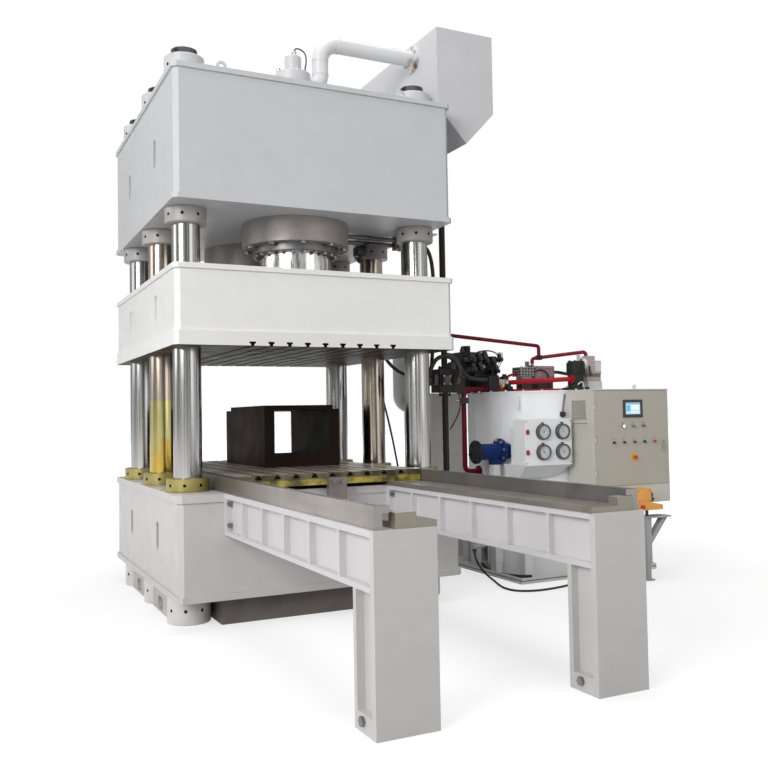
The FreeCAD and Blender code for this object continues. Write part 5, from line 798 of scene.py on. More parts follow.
# %% Finish by node
NODE_FINISH = {
    "base": "base_paint", "base_plinth": "plinth_paint", "columns": "column_chrome",
    "column_top_nuts": "top_nut_paint", "upper_column_nuts": "upper_nut_paint",
    "lower_column_nuts": "lower_nut_zinc", "foot_nuts": "foot_nut_paint",
    "crown": "crown_paint", "lifting_eyes": "tank_paint",
    "front_main_cylinder": "cylinder_steel", "rear_main_cylinder": "cylinder_steel",
    "gland_rings": "ring_steel", "hex_bolts": "bolt_steel", "prefill_valves": "tank_paint",
    "prefill_tank": "tank_paint", "suction_pipes": "pipe_paint", "drain_pipe": "drain_black",
    "left_arm": "arm_paint", "right_arm": "arm_paint", "arm_legs": "leg_paint",
    "guide_bars": "rail_steel", "table_tracks": "track_steel", "drip_tray": "tray_paint",
    "oil_tank": "oil_tank_paint", "gauge_panel": "panel_paint", "oil_filter": "filter_paint",
    "valve_stand": "beige_paint", "valve_manifold": "black_coat", "pump_motor": "motor_paint",
    "main_pump": "pump_green", "pilot_unit": "pilot_paint", "unit_pipes": "red_paint",
    "accumulator": "accumulator_paint", "cabinet": "cabinet_paint",
    "console_stand": "stand_paint", "console_box": "orange_paint",
    "floor_cable": "black_rubber", "slide": "slide_paint", "slide_t_slot_plate": "slot_plate",
    "main_rams": "ram_chrome", "moving_table": "table_steel", "table_bracket": "bracket_steel",
    "raising_box": "brown_coat", "cabinet_door": "door_paint", "touch_panel": "screen_face",
    "door_handle": "legend_grey", "power_selector": "black_plastic",
    "mode_selector": "black_plastic", "slide_selector": "black_plastic",
    "table_selector": "black_plastic", "red_button": "red_plastic",
    "cabinet_emergency_stop": "red_plastic", "left_palm_button": "black_plastic",
    "right_palm_button": "black_plastic", "console_emergency_stop": "red_plastic",
    "low_left_needle": "ink_black", "low_right_needle": "ink_black",
    "high_left_needle": "ink_black", "high_right_needle": "ink_black",
    "hand_wheel": "black_plastic"}
for node, finish in NODE_FINISH.items():
    NODES[node].data.materials.clear()
    NODES[node].data.materials.append(MATERIALS[finish])
print("painted", len(NODE_FINISH), "nodes of", len(NODES))

# %% [markdown]
# ## Modelling tools
#
# Every small part starts from a primitive at its real size and place and is
# then shaped as by hand: choose faces, inset, extrude, ease the edges. A
# finished part keeps its place in its mesh and its object at the origin, as
# the frame's own nodes do, so that patterns and exports stay right.

# %% Starting shapes
def settle(piece):
    """Place, turn and size go into the mesh."""
    pick(piece)
    bpy.ops.object.transform_apply(location=True, rotation=True, scale=True)
    return piece


def start_box(name, low, high):
    """A cube primitive, from its lowest to its highest corner."""
    deselect()
    middle = [(a + b) / 2 for a, b in zip(low, high)]
    bpy.ops.mesh.primitive_cube_add(size=1, location=middle)
    piece = bpy.context.object
    piece.name = piece.data.name = name
    piece.scale = [b - a for a, b in zip(low, high)]
    return settle(piece)


def start_round(name, start, end, diameter, sides=32):
    """A cylinder primitive from one point to another."""
    deselect()
    start, end = Vector(start), Vector(end)
    run = end - start
    bpy.ops.mesh.primitive_cylinder_add(vertices=sides, radius=diameter / 2, depth=run.length,
                                        location=(start + end) / 2,
                                        rotation=run.to_track_quat("Z", "Y").to_euler())
    piece = bpy.context.object
    piece.name = piece.data.name = name
    return settle(piece)


# %% Shaping
SHARP = math.radians(40)


def enter(piece, mode="FACE"):
    pick(piece)
    bpy.ops.object.mode_set(mode="EDIT")
    bpy.ops.mesh.select_mode(type=mode)
    bpy.ops.mesh.select_all(action="DESELECT")


def choose_faces(piece, test):
    """Select the faces whose centre and normal pass a test."""
    shape = bmesh.from_edit_mesh(piece.data)
    for face in shape.faces:
        face.select_set(bool(test(face.calc_center_median(), face.normal)))
    bmesh.update_edit_mesh(piece.data)


def facing(direction):
    """A test for faces that look in a direction."""
    ahead = Vector(direction).normalized()
    return lambda centre, normal: normal.dot(ahead) > 0.9


def stepped(piece, direction, *steps):
    """Inset the faces that look in a direction and push them, step by step."""
    ahead = Vector(direction).normalized()
    enter(piece)
    choose_faces(piece, facing(direction))
    for inset, push in steps:
        bpy.ops.mesh.inset(thickness=inset)
        if push:
            bpy.ops.mesh.extrude_region_move(TRANSFORM_OT_translate={"value": ahead * push})
    bpy.ops.object.mode_set(mode="OBJECT")
    return piece


def eased(piece, width, segments=2):
    """Round the edges sharper than SHARP with a bevel, applied."""
    pick(piece)
    bevel = piece.modifiers.new("ease", "BEVEL")
    bevel.width = width
    bevel.segments = segments
    bevel.limit_method = "ANGLE"
    bevel.angle_limit = SHARP
    bpy.ops.object.modifier_apply(modifier=bevel.name)
    return piece


# %% Copying, joining and dressing
PIECES = []


def copied(piece, shift=(0, 0, 0), turn=0.0, axis=(0, 0, 1), about=(0, 0, 0)):
    """A copy with its own mesh, moved, or turned about a line."""
    pick(piece)
    bpy.ops.object.duplicate(linked=False)
    twin = bpy.context.object
    about = Vector(about)
    twin.matrix_world = (Matrix.Translation(Vector(shift)) @ Matrix.Translation(about)
                         @ Matrix.Rotation(turn, 4, Vector(axis)) @ Matrix.Translation(-about))
    return settle(twin)


def as_one(name, pieces):
    """Join parts that are fixed together."""
    deselect()
    for piece in pieces:
        piece.select_set(True)
    bpy.context.view_layer.objects.active = pieces[0]
    if len(pieces) > 1:
        bpy.ops.object.join()
    whole = bpy.context.object
    whole.name = whole.data.name = name
    return whole


def dressed(piece, finish, body="press_frame", smooth=35):
    """Finish, smooth shading, body and material slot of a piece."""
    pick(piece)
    piece.data.materials.clear()
    piece.data.materials.append(MATERIALS[finish])
    if piece.type == "MESH":
        bpy.ops.object.shade_smooth_by_angle(angle=math.radians(smooth))
    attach(piece, body)
    PIECES.append(piece.name)


def hose(name, points, diameter, finish):
    """A fixed pipe or hose between two fittings, as a mesh tube."""
    line = nurbs_line(name, points, diameter, 8)
    pick(line)
    bpy.ops.object.convert(target="MESH")
    dressed(bpy.context.object, finish, smooth=60)


# %% [markdown]
# ## Bolts
#
# A hexagon bolt head is a six-sided prism on a round washer, and its top edge
# is chamfered. It is modelled once for each ring of bolts and copied around
# the ring's axis, each copy with its own mesh.

# %% A ring of bolts
def hex_head(place, axis, across, height):
    """A washer with a chamfered hexagon on it."""
    place, axis = Vector(place), Vector(axis).normalized()
    washer = start_round("washer", place, place + axis * height * 0.2, across * 1.45, 20)
    seat = place + axis * height * 0.2
    head = start_round("head", seat, seat + axis * height * 0.75, across / math.cos(math.pi / 6),
                       6)
    stepped(head, axis, (across * 0.1, height * 0.08))
    return as_one("bolt", [washer, head])


def bolt_ring(name, centre, axis, circle, count, across, height, finish="bolt_steel",
              start=0.0):
    """Bolts on a circle about an axis; start turns the first one."""
    axis = Vector(axis).normalized()
    side = axis.orthogonal().normalized()
    side.rotate(Matrix.Rotation(start, 3, axis))
    first = hex_head(Vector(centre) + side * circle / 2, axis, across, height)
    bolts = [first] + [copied(first, turn=2 * math.pi * k / count, axis=axis, about=centre)
                       for k in range(1, count)]
    dressed(as_one(name, bolts), finish, smooth=25)


CYLINDER_Y = 0.63
for side, row in (("front", -CYLINDER_Y), ("rear", CYLINDER_Y)):
    bolt_ring(side + "_valve_bolts", (0, row, 4.535), (0, 0, 1), 0.225, 8, 0.03, 0.02,
              "tank_paint")
    bolt_ring(side + "_suction_flange_bolts", (1.16, row, 4.866), (-1, 0, 0), 0.2, 8, 0.026,
              0.018, "tank_paint", start=0.39)
bolt_ring("filter_cap_bolts", (1.822, -0.55, 1.195), (-1, 0, 0), 0.19, 6, 0.02, 0.014,
          "dark_bolt")
bolt_ring("filter_flange_bolts", (2.088, -0.55, 1.195), (-1, 0, 0), 0.208, 8, 0.022, 0.016,
          "bright_steel", start=0.2)
print("bolt rings", len(PIECES))

# %% [markdown]
# ## Weld beads
#
# Pipes and plates are joined by weld beads. A bead is a thin roll whose skin
# is rippled: a ring or a long bar with many cuts, whose points are shaken a
# little with a fixed seed.

# %% Weld rings on the suction pipes
BEAD = 0.009


def weld_ring(place, axis, diameter):
    deselect()
    turn = Vector(axis).to_track_quat("Z", "Y").to_euler()
    bpy.ops.mesh.primitive_torus_add(location=place, rotation=turn, major_radius=diameter / 2,
                                     minor_radius=BEAD / 2, major_segments=72, minor_segments=6)
    ring = bpy.context.object
    enter(ring, "VERT")
    bpy.ops.mesh.select_all(action="SELECT")
    bpy.ops.transform.vertex_random(offset=0.0016, seed=5)
    bpy.ops.object.mode_set(mode="OBJECT")
    return settle(ring)


RISER_X, RUN_Z, INLET_Z = 0.255, 4.866, 4.455
rings = [weld_ring((0.139, -CYLINDER_Y, INLET_Z), (1, 0, 0), 0.14),
         weld_ring((RISER_X, -CYLINDER_Y, INLET_Z + 0.118), (0, 0, 1), 0.14),
         weld_ring((RISER_X, -CYLINDER_Y, RUN_Z - 0.17), (0, 0, 1), 0.14),
         weld_ring((RISER_X + 0.17, -CYLINDER_Y, RUN_Z), (1, 0, 0), 0.14),
         weld_ring((1.157, -CYLINDER_Y, RUN_Z), (1, 0, 0), 0.144)]
front_welds = as_one("front_suction_welds", rings)
rear_welds = copied(front_welds, shift=(0, 2 * CYLINDER_Y, 0))
rear_welds.name = "rear_suction_welds"
for welds in (front_welds, rear_welds):
    dressed(welds, "pipe_paint")


# %% Weld beads on the arms
def weld_bar(start, end, bead=BEAD, cuts=24):
    """A straight bead, rippled along its length."""
    bar = start_round("bead", start, end, bead, 6)
    run = (Vector(end) - Vector(start)).normalized()
    enter(bar)
    choose_faces(bar, lambda centre, normal: abs(normal.dot(run)) < 0.5)
    for cut in range(1, cuts):
        bpy.ops.mesh.select_all(action="SELECT")
        bpy.ops.mesh.bisect(plane_co=Vector(start).lerp(Vector(end), cut / cuts), plane_no=run)
    bpy.ops.mesh.select_all(action="SELECT")
    bpy.ops.transform.vertex_random(offset=0.0014, seed=3)
    bpy.ops.object.mode_set(mode="OBJECT")
    return bar


ARM_INNER, ARM_OUTER, WEB_INSET = 0.493, 0.845, 0.045
ARM_LOW, ARM_HIGH = 0.725, 0.965
RIB_PITCH, RIB_HALF = 0.429, 0.013
rib_bead = weld_bar((-ARM_OUTER + WEB_INSET, -1.325 - RIB_PITCH - RIB_HALF, ARM_LOW),
                    (-ARM_OUTER + WEB_INSET, -1.325 - RIB_PITCH - RIB_HALF, ARM_HIGH))
outside = [rib_bead, copied(rib_bead, shift=(0, 2 * RIB_HALF, 0))]
outside += [copied(bead, shift=(0, -RIB_PITCH * k, 0)) for k in range(1, 5)
            for bead in outside[:2]]
long_bead = weld_bar((-ARM_OUTER + WEB_INSET, -3.85, ARM_HIGH),
                     (-ARM_OUTER + WEB_INSET, -1.37, ARM_HIGH), cuts=60)
outside += [long_bead, copied(long_bead, shift=(0, 0, ARM_LOW - ARM_HIGH))]
left_welds = as_one("left_arm_outer_welds", outside)
span = ARM_OUTER - ARM_INNER - 2 * WEB_INSET
shifts = {"left_arm_inner_welds": span, "right_arm_inner_welds": 2 * ARM_INNER + 2 * WEB_INSET
          + span, "right_arm_outer_welds": 2 * ARM_OUTER - 2 * WEB_INSET}
copies = [left_welds]
for name, shift in shifts.items():
    copies.append(copied(left_welds, shift=(shift, 0, 0)))
    copies[-1].name = name
for welds in copies:
    dressed(welds, "arm_paint")
print("welds done, pieces", len(PIECES))

# %% [markdown]
# ## Fittings on the prefill valves
#
# On each valve's cap sits a small union, from which a black cable bends down
# to a gland on the valve body; a plug stands on the body's left edge.

# %% Valve caps
def union(name, place, axis, across, length):
    """A pipe union: a hexagon between two turned collars."""
    place, axis = Vector(place), Vector(axis).normalized()
    body = start_round(name, place, place + axis * length * 0.35, across * 0.8, 24)
    nut = start_round("nut", place + axis * length * 0.3, place + axis * length * 0.75,
                      across / math.cos(math.pi / 6), 6)
    stepped(nut, axis, (across * 0.08, length * 0.04))
    end = start_round("end", place + axis * length * 0.75, place + axis * length, across * 0.7, 24)
    stepped(end, axis, (across * 0.08, -length * 0.05))
    return as_one(name, [body, nut, end])


for side, row in (("front", -CYLINDER_Y), ("rear", CYLINDER_Y)):
    dressed(union(side + "_cap_union", (0.012, row, 4.691), (0, 0, 1), 0.036, 0.06),
            "fitting_zinc", smooth=25)
    dressed(union(side + "_body_plug", (-0.132, row, 4.533), (0, 0, 1), 0.03, 0.04),
            "fitting_zinc", smooth=25)
    dressed(union(side + "_cable_gland", (0.103, row - 0.02, 4.533), (0, 0, 1), 0.022, 0.03),
            "black_plastic", smooth=25)
    hose(side + "_valve_cable", [(0.012, row, 4.745), (0.02, row, 4.775), (0.07, row, 4.775),
                                 (0.115, row - 0.01, 4.74), (0.118, row - 0.02, 4.66),
                                 (0.103, row - 0.02, 4.6), (0.103, row - 0.02, 4.553)],
         0.012, "black_rubber")

# %% [markdown]
# ## Pipework under the crown
#
# Two steel tubes run under the crown, from a port block beside the front
# cylinder's flange to a second block near the front right column; a small
# black valve with a knob hangs from them. They are fixed to the crown,
# so they stay when the slide moves.

# %% Port blocks and tubes
def port_block(name, low, high, plug_axis=None, plugs=()):
    """A machined block with eased edges and screwed-in plugs."""
    block = eased(start_box(name, low, high), 0.004)
    parts = [block]
    for place in plugs:
        parts.append(hex_head(place, plug_axis, 0.022, 0.014))
    return as_one(name, parts)


CROWN_UNDER = 3.2055
block = port_block("flange_port_block", (0.42, -0.56, 3.1), (0.53, -0.44, CROWN_UNDER),
                   (1, 0, 0), [(0.53, -0.49, 3.12)])
dressed(block, "cylinder_steel", smooth=25)
block = port_block("crown_port_block", (1.03, -0.575, 3.1), (1.12, -0.435, CROWN_UNDER),
                   (0, 0, -1), [(1.075, -0.5, 3.1)])
dressed(block, "cylinder_steel", smooth=25)
for name, row, height in (("upper_crown_tube", -0.53, 3.178), ("lower_crown_tube", -0.47, 3.14)):
    hose(name, [(0.5, row, height), (0.7, row, height), (0.9, row, height),
                (1.06, row, height)], 0.036, "ring_steel")
knob = start_round("knob", (0.735, -0.36, 2.99), (0.735, -0.36, 3.03), 0.06, 10)
stepped(knob, (0, 0, -1), (0.012, 0.012))
valve = [eased(start_box("valve", (0.69, -0.42, 3.045), (0.78, -0.3, 3.125)), 0.005),
         start_round("stem", (0.735, -0.36, 3.025), (0.735, -0.36, 3.06), 0.03, 16), knob,
         eased(start_box("strap", (0.72, -0.55, 3.118), (0.75, -0.34, 3.13)), 0.002)]
dressed(as_one("crown_valve", valve), "black_plastic", smooth=25)

# %% [markdown]
# Two thick rubber hoses and a thin cable hang from brackets on the crown's
# right side, clear of the slide's travel, and sag into the power unit. A hose
# hangs on a smooth line, so a few NURBS points are enough.

# %% Hanging hoses
for name, row in (("front_hanger", -0.66), ("rear_hanger", 0.62)):
    arm = eased(start_box(name, (1.18, row - 0.045, 3.222), (1.37, row + 0.045, 3.234)), 0.003)
    plate = eased(start_box("plate", (1.196, row - 0.06, 3.208), (1.208, row + 0.06, 3.244)),
                  0.003)
    dressed(as_one(name, [arm, plate]), "crown_paint", smooth=25)
front_run = [(1.14, -0.5, 3.13), (1.25, -0.6, 3.15), (1.3, -0.66, 3.08), (1.318, -0.7, 2.9),
             (1.33, -0.69, 2.5), (1.34, -0.62, 2.15), (1.46, -0.36, 1.9), (1.68, -0.12, 1.915),
             (1.88, 0.02, 2.06), (2.06, 0.1, 2.1)]
hose("front_hanging_hose", front_run, 0.036, "black_rubber")
rear_run = [(1.3, 0.62, 3.228), (1.33, 0.62, 3.1), (1.345, 0.62, 2.8), (1.36, 0.6, 2.35),
            (1.43, 0.48, 2.08), (1.62, 0.33, 1.94), (1.82, 0.24, 1.97), (1.98, 0.2, 2.04),
            (2.06, 0.2, 2.07)]
hose("rear_hanging_hose", rear_run, 0.036, "black_rubber")
hose("hanging_cable", [(1.33, 0.65, 3.225), (1.36, 0.68, 3.0), (1.39, 0.74, 2.4),
                       (1.5, 0.84, 1.85), (1.64, 0.9, 1.45), (1.73, 0.9, 1.0),
                       (1.8, 0.86, 0.5), (1.92, 0.8, 0.16), (2.03, 0.76, 0.03)],
     0.022, "black_rubber")
for name, place, axis in (("front_hose_union", (1.115, -0.47, 3.125), (1, -0.8, 0.3)),
                          ("tower_hose_union", (2.062, 0.1, 2.1), (-1, -0.4, -0.2)),
                          ("rear_hose_union", (2.062, 0.2, 2.07), (-1, 0, -0.4))):
    dressed(union(name, place, axis, 0.05, 0.06), "fitting_zinc", smooth=25)
print("hoses done, pieces", len(PIECES))

# %% [markdown]
# ## The valve manifold
#
# The frame gives the manifold's blocks. The real cluster looks far busier:
# solenoid valves with a coil at the front and a cable plug on top, screwed-in
# cartridge knobs, brass plugs and loose white wires. One solenoid valve is
# modelled and copied to seven more places on the tower's front.

# %% Solenoid valves
def solenoid_valve(place, reach):
    """A valve body with a coil, a cable plug and two screws; place is its seat's middle."""
    x, y, z = place
    body = eased(start_box("valve", (x - 0.035, y - reach, z - 0.024), (x + 0.035, y, z + 0.024)),
                 0.003)
    coil = start_round("coil", (x, y - reach, z), (x, y - reach - 0.07, z), 0.046, 20)
    stepped(coil, (0, -1, 0), (0.005, 0.006), (0.008, 0.014))
    plug = eased(start_box("plug", (x - 0.018, y - reach - 0.045, z + 0.02),
                           (x + 0.018, y - reach - 0.008, z + 0.058)), 0.004)
    stepped(plug, (0, 0, 1), (0.006, 0.006))
    parts = [body, coil, plug]
    for side in (-1, 1):
        parts.append(hex_head((x + side * 0.024, y - reach + 0.012, z + 0.024), (0, 0, 1),
                              0.009, 0.007))
    return as_one("solenoid", parts)


TOWER_FACE = 0.046
first = solenoid_valve((2.105, TOWER_FACE, 2.12), reach=0.1)
stack = [first]
for step in ((0.078, 0, 0.012), (0.156, 0, -0.01), (0.01, 0, -0.1), (0.086, 0, -0.09),
             (0.25, 0, -0.03), (0.33, 0, 0.0), (0.29, 0, -0.12)):
    stack.append(copied(first, shift=step))
dressed(as_one("solenoid_valves", stack), "black_plastic", smooth=25)

# %% Cartridges, plugs and wires
knob = start_round("cartridge", (2.09, 0.09, 2.2), (2.09, 0.09, 2.235), 0.05, 16)
stepped(knob, (0, 0, 1), (0.008, 0.02), (0.006, 0.012))
knobs = [knob, copied(knob, shift=(0.12, 0.09, 0)), copied(knob, shift=(0.26, 0.0, -0.04)),
         copied(knob, shift=(0.34, 0.08, -0.04)), copied(knob, shift=(0.3, 0.14, -0.04)),
         copied(knob, shift=(0.44, 0.05, -0.26))]
side_knob = start_round("side_cartridge", (2.062, 0.2, 1.99), (2.0, 0.2, 1.99), 0.06, 16)
stepped(side_knob, (-1, 0, 0), (0.01, 0.022), (0.007, 0.014))
knobs += [side_knob, copied(side_knob, shift=(0, -0.09, -0.08))]
dressed(as_one("cartridges", knobs), "black_plastic", smooth=25)
brass_plug = hex_head((2.31, TOWER_FACE, 2.055), (0, -1, 0), 0.034, 0.028)
brass = [brass_plug, copied(brass_plug, shift=(0.045, 0, 0.035)),
         copied(brass_plug, shift=(0.02, -0.315, -0.21))]
dressed(as_one("brass_plugs", brass), "brass", smooth=25)
for k, (sag, drop) in enumerate(((0.0, 2.05), (0.022, 2.0))):
    hose("solenoid_wire_%d" % (k + 1),
         [(2.4 + 0.03 * k, -0.07, 2.17), (2.42 + 0.03 * k, -0.07, 2.2),
          (2.485 + sag, -0.04, 2.19), (2.5 + sag, 0.0, 2.11), (2.48, 0.04, drop),
          (2.465, 0.06, drop - 0.02)],
         0.009, "white_plastic")
hose("tower_wire", [(2.14, -0.07, 2.17), (2.16, -0.09, 2.2), (2.3, -0.09, 2.215),
                    (2.42, -0.06, 2.19), (2.43, -0.055, 2.17)], 0.014, "black_rubber")

# %% [markdown]
# The front block carries the pipe unions. Its screws are drawn as socket
# screws: a short cylinder whose top face is inset and pushed in.

# %% Socket screws
def socket_screw(place, axis, diameter):
    """A round screw head with a sunk socket."""
    place, axis = Vector(place), Vector(axis).normalized()
    screw = start_round("screw", place, place + axis * diameter * 0.5, diameter, 18)
    return stepped(screw, axis, (diameter * 0.06, diameter * 0.05),
                   (diameter * 0.2, -diameter * 0.3))


def screw_grid(name, places, axis, diameter, finish="dark_bolt"):
    """One socket screw, copied to all the places."""
    first = socket_screw(places[0], axis, diameter)
    screws = [first] + [copied(first, shift=Vector(place) - Vector(places[0]))
                        for place in places[1:]]
    dressed(as_one(name, screws), finish, smooth=25)


screw_grid("front_block_screws", [(2.2 + 0.08 * a, -0.27, 1.8 + 0.12 * b)
                                  for a in (0, 1) for b in (0, 1)], (0, -1, 0), 0.02)
screw_grid("low_block_screws", [(2.34 + 0.18 * a, 0.045, 1.81 + 0.1 * b)
                                for a in (0, 1) for b in (0, 1)], (0, -1, 0), 0.022)

# %% [markdown]
# Two thin red pipes leave the front block as well: one climbs to the valve
# block beside the motor, the other lies low on the tank. Small green-black
# check valves sit in them.

# %% Thin red pipes
hose("valve_block_pipe", [(2.3, -0.12, 1.9), (2.38, -0.12, 1.9), (2.46, -0.12, 1.925),
                          (2.56, -0.11, 1.965), (2.633, -0.1, 1.975)], 0.026, "red_paint")
hose("low_red_pipe", [(2.3, -0.235, 1.805), (2.4, -0.235, 1.8), (2.55, -0.25, 1.797),
                      (2.75, -0.3, 1.797), (2.86, -0.36, 1.797), (2.943, -0.48, 1.797)],
     0.024, "red_paint")
check_valve = eased(start_box("check_valve", (2.43, -0.15, 1.895), (2.5, -0.09, 1.945)), 0.006)
stepped(check_valve, (0, 0, 1), (0.014, 0.02))
low_valve = copied(check_valve, shift=(-0.03, -0.12, -0.11))
dressed(as_one("check_valves", [check_valve, low_valve]), "pump_green", smooth=25)

# %% [markdown]
# ## Pipe joints
#
# Where a painted pipe meets a block there is a flange with four bolts. The
# pressure pipe and the pilot pipe meet in a black joint block, and a black
# clamp with a short silver bar holds the return pipe.

# %% Flanges, joint block and clamp
EIGHTH_TURN = 0.785             # radians, so that four bolts stand in the corners


def pipe_flange(name, centre, axis, diameter, thickness):
    """A red disc with a raised face and four bolts."""
    axis = Vector(axis).normalized()
    centre = Vector(centre)
    disc = start_round(name, centre, centre + axis * thickness, diameter, 40)
    stepped(disc, axis, (diameter * 0.26, thickness * 0.5))
    dressed(eased(disc, 0.002), "red_paint")
    bolt_ring(name + "_bolts", centre + axis * thickness, axis, diameter * 0.76, 4,
              diameter * 0.13, diameter * 0.09, "dark_bolt", start=EIGHTH_TURN)


pipe_flange("crown_port_flange", (1.183, -0.21, 3.33), (1, 0, 0), 0.1, 0.018)
pipe_flange("pump_feed_flange", (2.944, -0.61, 1.895), (-1, 0, 0), 0.092, 0.016)
pipe_flange("return_low_flange", (2.09, -0.2, 0.99), (-1, 0, 0), 0.11, 0.018)
pipe_flange("return_top_flange", (2.18, -0.2, 1.81), (-1, 0, 0), 0.1, 0.016)
joint = eased(start_box("tee_block", (2.893, -0.13, 2.122), (2.947, -0.07, 2.172)), 0.006)
stepped(joint, (0, -1, 0), (0.01, 0.006))
dressed(joint, "black_coat", smooth=25)
clamp = eased(start_box("return_clamp", (1.884, -0.236, 1.668), (1.96, -0.164, 1.726)), 0.008)
stepped(clamp, (0, -1, 0), (0.014, 0.008))
dressed(clamp, "black_plastic", smooth=25)
bar = start_round("clamp_bar", (1.83, -0.2, 1.697), (1.885, -0.2, 1.697), 0.022, 16)
stepped(bar, (-1, 0, 0), (0.003, 0.004))
dressed(bar, "bright_steel", smooth=25)
dressed(union("feed_union_nut", (2.4, -0.2, 1.878), (1, 0, 0), 0.062, 0.05), "bright_steel",
        smooth=25)

# %% Drain valve fittings
parts = [eased(start_box("drain_coil", (1.33, -0.67, 1.83), (1.378, -0.53, 1.93)), 0.006),
         start_round("drain_knob", (1.33, -0.6, 1.88), (1.28, -0.6, 1.88), 0.07, 18),
         start_round("drain_top", (1.56, -0.6, 1.98), (1.56, -0.6, 2.03), 0.07, 18)]
stepped(parts[1], (-1, 0, 0), (0.012, 0.015))
stepped(parts[2], (0, 0, 1), (0.014, 0.02))
dressed(as_one("drain_valve_fittings", parts), "black_plastic", smooth=25)
for name, height in (("upper_drain_flange", 1.995), ("lower_drain_flange", 1.745)):
    collar = start_round(name, (1.475, -0.6, height - 0.012), (1.475, -0.6, height + 0.012),
                         0.12, 32)
    dressed(eased(collar, 0.004), "drain_black")
    bolt_ring(name + "_bolts", (1.475, -0.6, height + 0.012), (0, 0, 1), 0.092, 4, 0.015, 0.01,
              "dark_bolt")
plate = eased(start_box("drain_cover", (1.395, -0.712, 1.832), (1.478, -0.684, 1.925)), 0.005)
stepped(plate, (0, -1, 0), (0.01, 0.01))
cap = start_round("drain_cap", (1.545, -0.684, 1.875), (1.545, -0.715, 1.875), 0.075, 24)
stepped(cap, (0, -1, 0), (0.01, 0.016), (0.01, 0.012))
stub = start_box("drain_pilot", (1.4, -0.67, 1.93), (1.47, -0.56, 1.965))
stepped(stub, (0, 0, 1), (0.012, 0.014))
dressed(as_one("drain_valve_covers", [plate, cap, eased(stub, 0.004)]), "black_plastic",
        smooth=25)
screw_grid("drain_cover_screws", [(1.404 + 0.065 * a, -0.712, 1.842 + 0.073 * b)
                                  for a in (0, 1) for b in (0, 1)], (0, -1, 0), 0.012,
           "bright_steel")
hose("drain_pressure_hose", [(1.545, -0.71, 1.89), (1.56, -0.76, 1.95), (1.53, -0.74, 2.04),
                             (1.47, -0.7, 2.1), (1.4, -0.66, 2.1), (1.34, -0.63, 2.05),
                             (1.3, -0.61, 1.93)], 0.04, "black_rubber")
hose("manifold_hose", [(1.5, -0.57, 1.96), (1.52, -0.5, 2.07), (1.62, -0.38, 2.15),
                       (1.76, -0.32, 2.12), (1.86, -0.3, 1.97), (1.98, -0.26, 1.9),
                       (2.182, -0.24, 1.9)], 0.042, "black_rubber")
hose("drain_valve_wire", [(1.52, -0.69, 1.8), (1.56, -0.73, 1.74), (1.57, -0.72, 1.62),
                          (1.55, -0.66, 1.5), (1.51, -0.62, 1.42)], 0.012, "black_rubber")

# %% [markdown]
# ## Motor, valve block and pump
#
# Small black ports cover the valve block's faces, the pink motor has a black
# conduit across its front, and the pump is ribbed for cooling. A rib is one
# thin bar, copied around the pump.

# %% Valve block and motor
screw_grid("valve_block_ports",
           [(2.655 + 0.036 * a, -0.18, 1.963 + 0.03 * b) for a in range(5) for b in range(3)],
           (0, -1, 0), 0.018, "ink_black")
screw_grid("valve_block_side_ports",
           [(2.633, -0.155 + 0.035 * a, 1.965 + 0.028 * b) for a in range(4) for b in range(3)],
           (-1, 0, 0), 0.016, "ink_black")
screw_grid("valve_block_top_ports", [(2.66 + 0.05 * a, -0.155, 2.041) for a in range(2)],
           (0, 0, 1), 0.022, "bright_steel")
hose("motor_conduit", [(2.782, -0.2, 1.99), (2.8, -0.214, 2.005), (2.86, -0.216, 2.012),
                       (2.93, -0.216, 1.99), (2.962, -0.216, 1.92), (2.964, -0.216, 1.84),
                       (2.955, -0.2, 1.785)], 0.018, "black_rubber")
disc = start_round("motor_disc", (2.81, -0.1, 2.054), (2.81, -0.1, 2.06), 0.07, 28)
stepped(disc, (0, 0, 1), (0.01, 0.004), (0.012, -0.003))
dressed(disc, "motor_paint", smooth=25)
cover = eased(start_box("motor_cover", (2.835, -0.202, 1.935), (3.03, -0.194, 2.042)), 0.003)
stepped(cover, (0, -1, 0), (0.012, -0.003))
dressed(cover, "motor_paint", smooth=25)
hose("pump_lead", [(3.04, -0.16, 1.99), (3.075, -0.2, 1.99), (3.09, -0.3, 1.97),
                   (3.08, -0.4, 1.955), (3.06, -0.475, 1.95)], 0.034, "black_rubber")

# %% Pump ribs and feet
PUMP_X, PUMP_Y, PUMP_RADIUS = 3.038, -0.56, 0.082
RIBS = 18
rib = eased(start_box("pump_rib", (PUMP_X - 0.004, PUMP_Y - PUMP_RADIUS - 0.012, 1.94),
                      (PUMP_X + 0.004, PUMP_Y - PUMP_RADIUS + 0.006, 2.062)), 0.002)
ribs = [rib] + [copied(rib, turn=2 * math.pi * k / RIBS, about=(PUMP_X, PUMP_Y, 0))
                for k in range(1, RIBS)]
dressed(as_one("pump_ribs", ribs), "pump_green", smooth=25)
bolt_ring("pump_cover_bolts", (PUMP_X, PUMP_Y, 2.08), (0, 0, 1), 0.13, 6, 0.015, 0.01,
          "dark_bolt")
bolt_ring("pump_foot_bolts", (PUMP_X, PUMP_Y, 1.815), (0, 0, 1), 0.225, 4, 0.022, 0.014,
          "bright_steel", start=EIGHTH_TURN)
hose("pump_white_lead", [(2.99, -0.652, 1.84), (3.0, -0.672, 1.86), (3.03, -0.675, 1.87),
                         (3.05, -0.665, 1.83), (3.065, -0.655, 1.79)], 0.012,
     "white_plastic")

